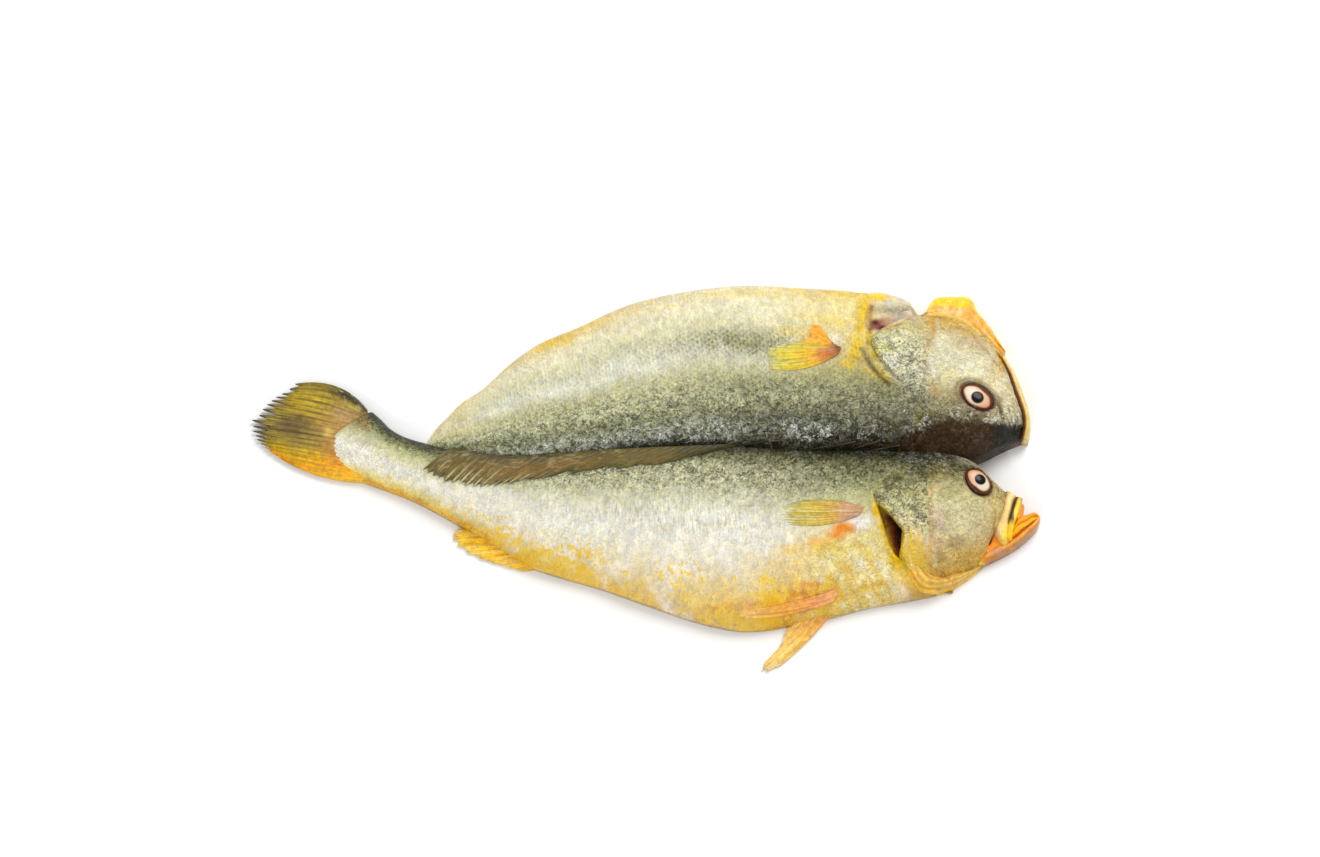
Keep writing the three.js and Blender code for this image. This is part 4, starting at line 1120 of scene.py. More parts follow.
def makeGillCover(name, half, ground, colours, span, edgeTone):
    # a plate from its free edge (v = 0) to the groove of the cheek (v = 1), highest just behind the edge
    u, v = np.linspace(0, 1, 200), np.linspace(0, 1, 90)[:, None]
    y = mix(span[0], span[1], u) + 0 * v
    x = mix(half["cover"](y) + 0.3 * cloud(y, 0 * y, 3, 50), half["cheek"](y) - 0.6, v)
    ends = smooth(0, 0.18, u) * smooth(1, 0.82, u)
    body = ground(x, y)
    crown = np.sqrt(np.clip(v / 0.07, 0, 1)) * (1 - smooth(0.25, 1, v))
    lift = (0.5 + (coverLook["lift"] - 0.5) * crown) * ends * (1 - smooth(0.8, 1, v)) - 0.3 * v
    top = np.stack([x, y, body + lift + 0.18 * cloud(x, y, 3, 51) * (1 - v)], -1)
    bottom = np.stack([x, y, np.maximum(body - 1.4, 0.1)], -1)
    tone, marks, touch = colours(np.maximum(x, half["rim"](y) + 7.5 * smooth(0.5, 0.0, v) + 0 * x), y)
    rimmed = smooth(0.09, 0.02, v + 0.02 * cloud(x, y, 2, 52)) * ends * smooth(span[1] - 8, span[1] - 16, y)
    tone = blendTo(tone, edgeTone, 0.7 * rimmed)
    return closedSheet(name, top, bottom, skin, tone, marks * (0.2, 0, 0.5), latticeOf(top), touch=touch)


def makeBand(name, look):
    # a rounded strip between two plan curves: v runs from the outer to the inner one, u along them
    u, v = np.linspace(0, 1, look.get("columns", 110)), np.linspace(0, 1, look.get("rows", 34))[:, None]
    o, i = curve(look["outer"])(u), curve(look["inner"])(u)
    x, y = mix(o[:, 0], i[:, 0], v), mix(o[:, 1], i[:, 1], v)
    section = np.sqrt(np.clip(1 - np.abs(2 * v - 1) ** look.get("square", 2.4) * 0.94, 0, 1))
    low, high = look.get("low", 0.0), look["high"]
    low = low(x, y) if callable(low) else low
    high = high(x, y) if callable(high) else table(*high)(u)
    ridges = look.get("ridges", 1)
    folds = np.abs(np.sin(np.pi * (ridges * v + 0.25 * cloud(x, y, 9, 59)))) if ridges > 1 else 1.0
    z = low + (high - low) * section * mix(1 - look.get("groove", 0.14), 1, folds)
    z = np.maximum(z + look.get("rough", 0.12) * cloud(x, y, 2.2, 60) * section, low + 0.3)
    under = np.stack([x, y, 0 * x + low], -1)
    return closedSheet(name, np.stack([x, y, z], -1), under, flesh, look["tones"](u + 0 * v, v + 0 * u, x, y))


def stripes(*colours):
    # bands of colour across a strip, a little blurred and wavy, and lighter or darker here and there
    stops = []
    for k, colour in enumerate(colours):
        stops += [((k + 0.2) / len(colours), colour), ((k + 0.8) / len(colours), colour)]

    def tones(u, v, x, y):
        tone = ramp(stops, np.clip(v + 0.05 * cloud(x, y, 3, 61), 0, 1))
        return tone * mix(0.86, 1.08, smooth(-0.6, 0.6, cloud(x, y, 1.6, 62)))[..., None]

    return tones


def chinTones(u, v, x, y):
    # yellow square flap behind, orange and rosy strands before it, golden in front, pale towards the cheek
    strands = cloud(40 * u, 7 * v, 2.2, 63)
    tone = ramp([
        (0, tint(244, 200, 40)), (0.25, tint(238, 180, 48)), (0.45, tint(234, 170, 72)),
        (0.65, tint(232, 182, 84)), (0.84, tint(226, 190, 98)), (1, tint(224, 202, 136)),
    ], np.clip(v + 0.12 * strands, 0, 1))
    tone = blendTo(tone, tint(232, 142, 62),
        0.6 * smooth(0.1, 0.6, strands) * smooth(0.15, 0.4, v) * smooth(0.3, 0.45, u))
    tone = blendTo(tone, tint(252, 226, 170), 0.5 * smooth(-0.1, -0.6, strands) * smooth(0.2, 0.4, v))
    tone = blendTo(tone, tint(250, 216, 44),
        0.95 * smooth(0.5, 0.4, u + 0.1 * v) * smooth(0.5, 0.3, v + 0.1 * strands))
    return blendTo(tone, tint(242, 190, 36), 0.7 * smooth(0.55, 0.75, u) * smooth(0.5, 0.1, v))


def flapTones(u, v, x, y):
    # pale grey membrane, yellowish behind, under the colours of the gill opening
    return openingTones(blendTo(np.zeros(x.shape + (3,)) + tint(212, 202, 178), tint(238, 222, 150),
        smooth(96, 88, x)), x, y)


bands = {
    # gill membranes folded below the near cover, from the gill opening round to the corner of the jaw
    "gill_folds_near": {
        "outer": [(95.9, -27), (95.4, -32), (94.8, -37), (97.4, -42), (100, -46.2), (103, -48.3),
            (108, -48.2), (114, -46.4), (120, -42.8), (126, -38.2)],
        "inner": [(96.8, -27.4), (98.8, -32), (101.2, -37), (104, -40.4), (107, -42.6), (110.1, -43),
            (114, -42.2), (117.7, -41), (121, -39.6), (125.5, -37.2)],
        "high": lambda x, y: nearSkin(x, np.maximum(y, -47))
        + 1.2 * smooth(94.6, 99, x) * smooth(124, 114, x) + 0.3,
        "low": lambda x, y: np.maximum(nearSkin(x, y) - 3, 0),
        "tones": stripes(tint(238, 194, 50), tint(222, 160, 54), tint(240, 204, 80), tint(228, 174, 88),
            tint(242, 208, 94), tint(214, 152, 68), tint(228, 190, 96)),
        "ridges": 5, "groove": 0.06, "columns": 200, "rows": 80, "square": 4,
    },
    "mouth_floor_near": {
        "outer": [(143.6, -13.6), (143, -17.5), (143.5, -20), (142, -24), (138, -28.4), (133, -31.5),
            (128.5, -33)],
        "inner": [(136, -10.6), (135.4, -13), (133.8, -18), (132, -22), (130.6, -25.6), (129.6, -28.4),
            (127.6, -30.6)],
        "high": [(0, 5.6), (0.5, 6), (1, 5)],
        # darker towards its inner side: painted shade deep in the open mouth
        "tones": lambda u, v, x, y: blendTo(ramp([
            (0, tint(238, 156, 36)), (0.35, tint(232, 146, 30)), (0.55, tint(120, 74, 20)),
            (0.75, tint(84, 54, 18)), (1, tint(110, 66, 20)),
        ], v), tint(240, 150, 50), smooth(-21, -25, y)), "square": 5,
    },
    "upper_jaw_near": {
        "outer": [(140.6, -11.6), (139.2, -13.4), (138.1, -17), (137.0, -21.8), (137.6, -26.4),
            (137, -29.2), (135.6, -30.4)],
        "inner": [(135.6, -8.8), (134.8, -13), (133.2, -19), (131.2, -23.2), (131.4, -26), (132.6, -28),
            (134, -29.8)],
        "high": [(0, 9.4), (0.3, 10), (0.65, 9.4), (0.85, 8.6), (1, 6.4)], "square": 4,
        "tones": lambda u, v, x, y: paintSpots(ramp([
            (0, tint(240, 200, 110)), (0.4, tint(244, 212, 148)), (0.75, tint(232, 196, 132)),
            (1, tint(206, 170, 90)),
        ], v), x, y, [
            (tint(248, 218, 60), 0.95, 135.4, -27, 2.4, 3.2),
            (tint(246, 226, 150), 0.8, 133.6, -25.4, 1.2, 2.6),
            (tint(240, 200, 176), 0.8, 132.4, -25.8, 1.0, 1.6),
        ]),
    },
    "upper_lip_near": {
        "outer": [(142.6, -12.2), (141.5, -16.2), (140.2, -19.6), (139, -22.6), (138.3, -25.7),
            (137.9, -28.4)],
        "inner": [(139.4, -11.4), (138.1, -14.6), (136.8, -19), (136, -22.6), (135.4, -26.4), (135.6, -28.6)],
        "high": [(0, 9), (0.5, 9.6), (0.85, 9.6), (1, 8.6)], "square": 6,
        # dark along its inner side: painted shade in the slit of the mouth
        "tones": lambda u, v, x, y: blendTo(ramp([(0, tint(206, 176, 40)), (0.3, tint(240, 208, 44)),
            (0.65, tint(248, 212, 44)), (1, tint(244, 190, 36))], u), tint(72, 50, 18),
            0.95 * smooth(0.5, 0.66, v - 0.05 + 0.5 * smooth(0.3, 0.75, u)) * smooth(0.75, 0.5, u)),
        "columns": 80, "rows": 30,
    },
    "tongue_near": {
        "outer": [(139.4, -20.6), (140.7, -17.9), (143.8, -17.1), (146.5, -16.3), (147.9, -17),
            (148.5, -18.6)],
        "inner": [(137, -29), (139.6, -27.4), (143.4, -24), (146.3, -21.4), (147.5, -20.2), (148.2, -19.4)],
        "high": [(0, 7.6), (0.4, 8.2), (0.8, 8.2), (1, 7)], "square": 4,
        # dark along its upper edge: painted shade
        "tones": lambda u, v, x, y: ramp([
            (0, tint(110, 60, 16)), (0.05, tint(170, 96, 26)), (0.12, tint(244, 160, 60)),
            (0.34, tint(246, 172, 40)), (0.44, tint(222, 132, 20)), (0.54, tint(250, 196, 40)),
            (0.72, tint(246, 184, 44)), (0.8, tint(214, 124, 22)), (1, tint(190, 110, 20)),
        ], v + 0.04 * cloud(x, y, 2, 67)),
        "ridges": 2, "groove": 0.12,
    },
    "lower_jaw_near": {
        "outer": [(120.5, -40.6), (124, -38.8), (127.4, -36.7), (131.4, -34.8), (136, -32.3),
            (140.8, -29.3), (145.4, -25.2), (148.3, -21.9), (149.1, -19.2), (148.4, -17.4)],
        "inner": [(123.5, -35.8), (126.3, -33.6), (129.2, -31.2), (132.2, -29.4), (135.2, -28.4),
            (139, -26.2), (142.8, -23), (145.8, -20.6), (147, -19.2), (147.2, -18)],
        "high": [(0, 4.6), (0.25, 6), (0.5, 7), (0.8, 8.2), (0.95, 7.6), (1, 6)], "square": 3,
        "tones": lambda u, v, x, y: paintSpots(blendTo(ramp([
            (0, tint(172, 112, 46)), (0.25, tint(198, 140, 68)), (0.5, tint(236, 172, 90)),
            (0.72, tint(230, 150, 54)), (1, tint(242, 176, 48)),
        ], v), tint(244, 160, 44), 0.6 * smooth(0.7, 1, u)), x, y, [
            (tint(206, 150, 120), 0.85, 131.5, -32.2, 3.6, 1.3),
            (tint(232, 142, 30), 0.9, 127.4, -34.8, 2.4, 1.1),
            (tint(246, 206, 50), 0.9, 126.4, -36.6, 3, 0.9), (tint(206, 156, 120), 0.6, 128, -33, 2, 1),
            (tint(222, 130, 26), 0.7, 131.4, -30.6, 1.4, 1), (tint(232, 150, 40), 0.6, 137, -31, 3, 1),
        ]),
        "columns": 170, "rows": 44, "rough": 0.16,
    },
    # far mouth: a dark strip that paints the shade in the slit, the pale lower jaw beyond it and the golden
    # chin
    "mouth_slit_shade_far": {
        "outer": [(138.6, 45.4), (140.8, 40.6), (142.6, 34), (144.6, 27), (146, 20.6), (146, 15.6),
            (145.2, 12)],
        "inner": [(133, 44.6), (135.6, 39.6), (137.2, 33.6), (138.6, 27.4), (140.4, 21), (140.6, 16),
            (139.6, 12.2)],
        "high": [(0, 3.2), (0.5, 4), (1, 3.6)],
        "tones": stripes(tint(90, 58, 20), tint(64, 38, 14), tint(90, 60, 26)), "square": 5,
    },
    "lower_jaw_far": {
        "outer": [(136.4, 50.2), (139.5, 44), (142.7, 37), (145.2, 29.2), (146.8, 22), (146.9, 16.5),
            (146, 12)],
        "inner": [(132.6, 48.2), (135, 44), (137.4, 37.6), (139, 31), (140.9, 25), (142.3, 20),
            (142.4, 15.6), (141.6, 12)],
        "high": [(0, 7.4), (0.35, 9.8), (0.7, 10.4), (0.9, 9.6), (1, 8.2)], "square": 3,
        # darker on its inner side: painted shade in the slit between jaw and snout
        "tones": lambda u, v, x, y: blendTo(blendTo(ramp([
            (0, tint(214, 180, 90)), (0.2, tint(224, 204, 138)), (0.4, tint(224, 202, 132)),
            (0.5, tint(196, 154, 62)), (0.58, tint(112, 72, 22)), (1, tint(80, 50, 16)),
        ], v), tint(242, 196, 60), 0.8 * smooth(0.22, 0.02, u) * smooth(0.6, 0.5, v)), tint(214, 196, 130),
        0.6 * smooth(0.7, 1, u) * smooth(0.6, 0.5, v)),
        "columns": 150, "rows": 36,
    },
    "chin_far": {
        "outer": [(109, 67), (111.4, 71.4), (114, 72.7), (120, 73), (125, 72.8), (127, 71), (128.6, 66.4),
            (131.6, 62), (135.2, 55.2), (138.4, 47.6)],
        "inner": [(107.6, 60), (109.6, 60.6), (112, 60.5), (117, 58.6), (121, 56.4), (124, 54.4), (127, 52),
            (130, 50), (133, 47.4), (135.4, 44.4)],
        "high": lambda x, y: np.maximum(farSkin(np.minimum(x, 134), np.minimum(y, 58)) * smooth(78, 56, y)
            + 0.9, 4.4),
        "tones": chinTones, "ridges": 3, "groove": 0.1, "columns": 200, "rows": 70, "rough": 0.2, "square": 4,
    },
    "gill_flap_far": {
        "outer": [(84.6, 72.6), (87, 74.4), (92, 74.6), (97.5, 72.8), (102.6, 70.2), (103.8, 65.5),
            (103.6, 61.5)],
        "inner": [(87, 65.6), (88.6, 63.6), (91, 61.6), (94.5, 59.6), (98, 58.8), (101, 59.4), (102.4, 60.2)],
        "high": [(0, 4.4), (0.5, 5.8), (1, 6.6)], "tones": flapTones, "rows": 50, "rough": 0.3,
    },
}
headPieces = [
    makeGillCover("gill_cover_near", near, nearSkin, nearColours, coverLook["near"], tint(206, 190, 70)),
    makeGillCover("gill_cover_far", far, farSkin, farColours, coverLook["far"], tint(206, 186, 80)),
] + [makeBand(name, look) for name, look in bands.items()]
print("heads made")

# eyes
eyeLook = {"height": 2.3, "lens": 1.15, "rings": 48, "spokes": 120}


def makeEye(side, ground):
    # a low dome over the turned ellipse, closed by a shallower one below; the lens stands a little out of it
    eye = eyes[side]
    (atX, atY), (long, wide) = eye["at"], eye["radii"]
    r = np.linspace(0.0, 1, eyeLook["rings"])[1:, None]
    angle = np.linspace(0, 2 * np.pi, eyeLook["spokes"], endpoint=False)
    c, s = math.cos(eye["turn"]), math.sin(eye["turn"])
    p, q = r * np.cos(angle) * long, r * np.sin(angle) * wide
    x, y = atX + p * c - q * s, atY + p * s + q * c
    pupilX, pupilY, pupil = eye["pupil"]
    fromPupil = np.hypot(x - atX - pupilX, y - atY - pupilY)
    middle = ground(atX, atY)
    slopeX, slopeY = ground(atX + 2, atY) - middle, ground(atX, atY + 2) - middle
    plane = middle - eye["sunk"] + 0.4 * ((x - atX) * slopeX + (y - atY) * slopeY)
    dome = np.sqrt(np.clip(1 - r ** 2, 0, 1)) + 0 * angle
    lens = 0.25 * np.sqrt(np.clip(1 - (fromPupil / (eyeLook["lens"] * pupil)) ** 2, 0, 1))
    top = np.stack([x, y, plane + eyeLook["height"] * dome + lens], -1).reshape(-1, 3)
    under = np.stack([x, y, plane - 1.6 * dome], -1)[:-1].reshape(-1, 3)
    centres = np.array([[atX, atY, middle - eye["sunk"] + eyeLook["height"] + 0.3],
        [atX, atY, middle - eye["sunk"] - 1.6]])
    rings, spokes = len(r), eyeLook["spokes"]
    k = np.arange(spokes)
    after, last = np.roll(k, -1), len(top) + len(under)
    caps = [np.stack([k, after, 0 * k + last], -1),
        np.stack([len(top) + after, len(top) + k, 0 * k + last + 1], -1)]
    quads = []
    for ring in range(rings - 1):
        quads.append(ring * spokes + np.stack([k, k + spokes, after + spokes, after], -1))
        inner = len(top) + ring * spokes
        outer = inner + spokes if ring < rings - 2 else (rings - 1) * spokes
        quads.append(np.stack([inner + k, inner + after, outer + after, outer + k], -1))
    # iris pale on one side and peach on the other, a brown ring that is thick on one side, a dark pupil with
    # a painted reflection, lighter and bluer, in its middle
    paleSide = (x - atX) * eye["pale"][0] / long + (y - atY) * eye["pale"][1] / wide
    iris = blendTo(np.zeros(x.shape + (3,)) + tint(222, 180, 148), tint(226, 218, 194),
        smooth(-0.5, 0.6, paleSide))
    iris = blendTo(iris, tint(196, 138, 102), 0.5 * smooth(0.5, 0.95, r) * smooth(0.3, -0.5, paleSide))
    iris = iris * (1 + 0.07 * np.sin(angle * 31 + 3 * np.sin(angle * 7)) * smooth(0.3, 0.8, r))[..., None]
    ringWidth = (0.17 + 0.24 * np.clip(np.cos(angle - eye["thick"]), 0, 1) ** 1.5
        + 0.02 * np.sin(angle * 5 + 1))
    iris = blendTo(iris, tint(206, 146, 108), 0.8 * smooth(-0.14, -0.02, r - 1 + ringWidth))
    iris = blendTo(iris, tint(94, 56, 38), smooth(-0.03, 0.03, r - 1 + ringWidth))
    iris = blendTo(iris, tint(54, 32, 22), smooth(0.02, 0.1, r - 1 + 0.5 * ringWidth))
    looks = blendTo(iris, tint(96, 76, 60), smooth(1.22, 1.05, fromPupil / pupil))
    looks = blendTo(looks, tint(12, 13, 13), smooth(1.06, 0.94, fromPupil / pupil))
    # painted reflection: the middle of the pupil a little lighter and bluer
    looks = blendTo(looks, tint(30, 38, 40), 0.6 * smooth(0.62, 0.2, np.hypot(fromPupil / pupil, 0.2)))
    tones = np.concatenate([looks.reshape(-1, 3), looks[:-1].reshape(-1, 3), [looks[0, 0]] * 2])
    return makePiece("eye_" + side + "_ball", points=np.concatenate([top, under, centres]),
        faces=[np.concatenate(quads), np.concatenate(caps)], material=eyeball, tone=tones)


eyePieces = [makeEye("near", nearSkin), makeEye("far", farSkin)]
print("eyes made")

# fins
def makeFin(name, look):
    # rays run from the base line to the tip line, a = 0 to 1 from ray to ray and r = 0 to 1 along them;
    # each line bows sideways by bow(a); the web between rays is thinner and shorter towards a ragged edge
    rays, rows = look["rays"], look.get("rows", 90)
    a, r = np.linspace(0, 1, look.get("perRay", 14) * rays + 1), np.linspace(0, 1, rows)[:, None]
    wave = np.cos(np.pi * a * rays) ** 2
    fork = np.cos(2 * np.pi * a * rays) ** 2
    ray = mix(wave, np.maximum(wave, 0.8 * fork), smooth(0.5, 0.72, r))
    ragged = table(*look["notch"])(a) * (0.55 + 0.9 * np.abs(noise(a * rays * 0.9, 0 * a, 1, 70 + rays)))
    short = look.get("uneven", 0.03) * cloud(a * rays * 0.7, 0 * a, 1, 75 + rays)
    reach = r * (1 - (ragged * (1 - wave) ** 0.8 + short) * smooth(0.4, 1, r))
    b, t = (np.stack([table(*((share, p[k]) for share, p in look[line]))(a) for k in (0, 1)],
        -1) for line in ("base", "tip"))
    x, y = mix(b[:, 0], t[:, 0], reach), mix(b[:, 1], t[:, 1], reach)
    bow = table(*look.get("bow", ((0, 0.0), (1, 0.0))))(a) * 4 * reach * (1 - reach)
    long = np.hypot(t[:, 0] - b[:, 0], t[:, 1] - b[:, 1])
    x, y = x - bow * (t[:, 1] - b[:, 1]) / long, y + bow * (t[:, 0] - b[:, 0]) / long
    root, end = look["thick"]
    edge = np.clip(np.minimum(a, 1 - a) / look.get("rim", 0.03), 0.25, 1) ** 0.5
    height = mix(root, end, r) * edge + look["ridge"] * (ray ** 2 - 0.4) * smooth(0, look.get("rise", 0.2), r)
    ground = look["ground"](x, y) + look.get("lift", 0.0) * r * r
    bottom = np.maximum(ground - look.get("sunk", 0.8) * (1 - 0.7 * r), 0.05)
    top = np.maximum(ground + height + 0.12 * cloud(x, y, 6, 77), bottom + 0.25)
    a, r = a + 0 * r, r + 0 * a
    strands = np.stack([a * rays, r * 0.9, 0 * r], -1)
    tone = look["tones"](a, r, ray, x, y)
    return closedSheet(name, np.stack([x, y, top], -1), np.stack([x, y, bottom], -1), finSkin, tone, strands)


def rayTones(stops, rayTone, rayAmount, pale=0.0):
    # colours from root to tip, the rays drawn in their own colour, pale strands in between
    def tones(a, r, ray, x, y):
        tone = ramp(stops, np.clip(r + 0.1 * cloud(a * 9, r * 3, 1, 71), 0, 1))
        tone = blendTo(tone, rayTone, rayAmount * smooth(0.35, 0.9, ray) * mix(0.4, 1, r))
        return blendTo(tone, tint(250, 240, 206), pale * smooth(0.2, 0.7, cloud(a * 26, r * 2.5, 1, 72)))
    return tones


def tailTones(a, r, ray, x, y):
    # olive with dark rays above, brown where the rays leave the scales, golden below, a dark scaly upper rim
    web = ramp([
        (0, tint(150, 130, 44)), (0.14, tint(190, 164, 46)), (0.34, tint(176, 152, 52)),
        (0.5, tint(150, 130, 66)), (0.66, tint(176, 156, 66)), (0.78, tint(206, 174, 40)),
        (0.88, tint(226, 174, 22)), (1, tint(238, 172, 24)),
    ], np.clip(a + 0.05 * cloud(x, y, 7, 73), 0, 1))
    root = ramp([(0, tint(96, 84, 44)), (0.12, tint(150, 122, 64)), (0.25, tint(186, 150, 92)),
        (0.4, tint(184, 142, 84)), (0.7, tint(196, 140, 70)), (0.85, tint(222, 150, 36)),
        (1, tint(242, 190, 40))], a)
    web = blendTo(web, root, smooth(0.62, 0.25, r + 0.08 * cloud(x, y, 6, 74)))
    web = paintSpots(web, x, y, [
        (tint(112, 92, 62), 0.75, -134.7, 19.5, 7, 4.6), (tint(206, 178, 50), 0.6, -128, 31, 7, 2.6),
        (tint(196, 176, 90), 0.6, -112.5, 27, 3.4, 2.6), (tint(206, 188, 140), 0.7, -108.5, 26.4, 3, 2),
        (tint(186, 158, 110), 0.6, -115, 22, 5, 3), (tint(232, 184, 30), 0.6, -130, 6, 6, 2.6),
        (tint(238, 214, 120), 0.5, -121, 16.4, 2, 2.4), (tint(176, 160, 72), 0.6, -144, 22, 4, 4),
    ])
    thin = smooth(0.5, 0.92, ray) * smooth(0.24, 0.6, r) * mix(0.75, 0.3, smooth(0.55, 0.85, a))
    thin = thin * mix(0.45, 1, smooth(-0.4, 0.4, cloud(a * 20, r * 3, 1, 85)))
    web = blendTo(web, tint(84, 72, 34), thin)
    web = blendTo(web, tint(58, 58, 46),
        0.85 * smooth(0.9, 1, r) * smooth(0.3, 0.8, ray) * smooth(0.9, 0.7, a))
    upper = smooth(0.13, 0.05, a + 0.03 * cloud(x, y, 2, 78)) * smooth(0.72, 0.3, r)
    web = blendTo(web, tint(66, 60, 28), 0.95 * upper)
    return blendTo(web, tint(176, 166, 110), 0.7 * upper * smooth(0.1, 0.5, cloud(x, y, 1.4, 79)))


def dorsalTones(a, r, ray, x, y):
    # a glossy brown strip, olive to the front, dark at the root and darker again along its free edge as a
    # painted shadow line, with thin pale rays where it frays behind
    tone = ramp([(0, tint(70, 68, 42)), (0.14, tint(92, 84, 52)), (0.32, tint(122, 104, 62)),
        (0.6, tint(132, 104, 60)), (0.85, tint(116, 100, 56)), (1, tint(80, 76, 44))],
                np.clip(r + 0.14 * cloud(x, y, 6, 81), 0, 1))
    tone = blendTo(tone, tint(106, 96, 52), 0.8 * smooth(-40, -12, x))
    tone = blendTo(tone, tint(62, 62, 38), 0.8 * smooth(0, 26, x))
    tone = blendTo(tone, tint(104, 96, 54), 0.6 * smooth(-50, -68, x))
    fray = smooth(-30, -48, x) * smooth(0.3, 0.7, r)
    strand = smooth(0.6, 0.9, ray) * smooth(-0.3, 0.3, cloud(a * 24, 1.5 * r, 1, 82))
    tone = blendTo(tone, tint(206, 196, 150), 0.75 * fray * strand)
    return blendTo(tone, tint(196, 176, 130),
        0.3 * smooth(0.2, 0.7, cloud(x * 0.5, y * 2, 1.6, 83)) * smooth(10, -20, x))


def flatGround(height):
    # the same height everywhere
    return lambda x, y: height + 0 * x


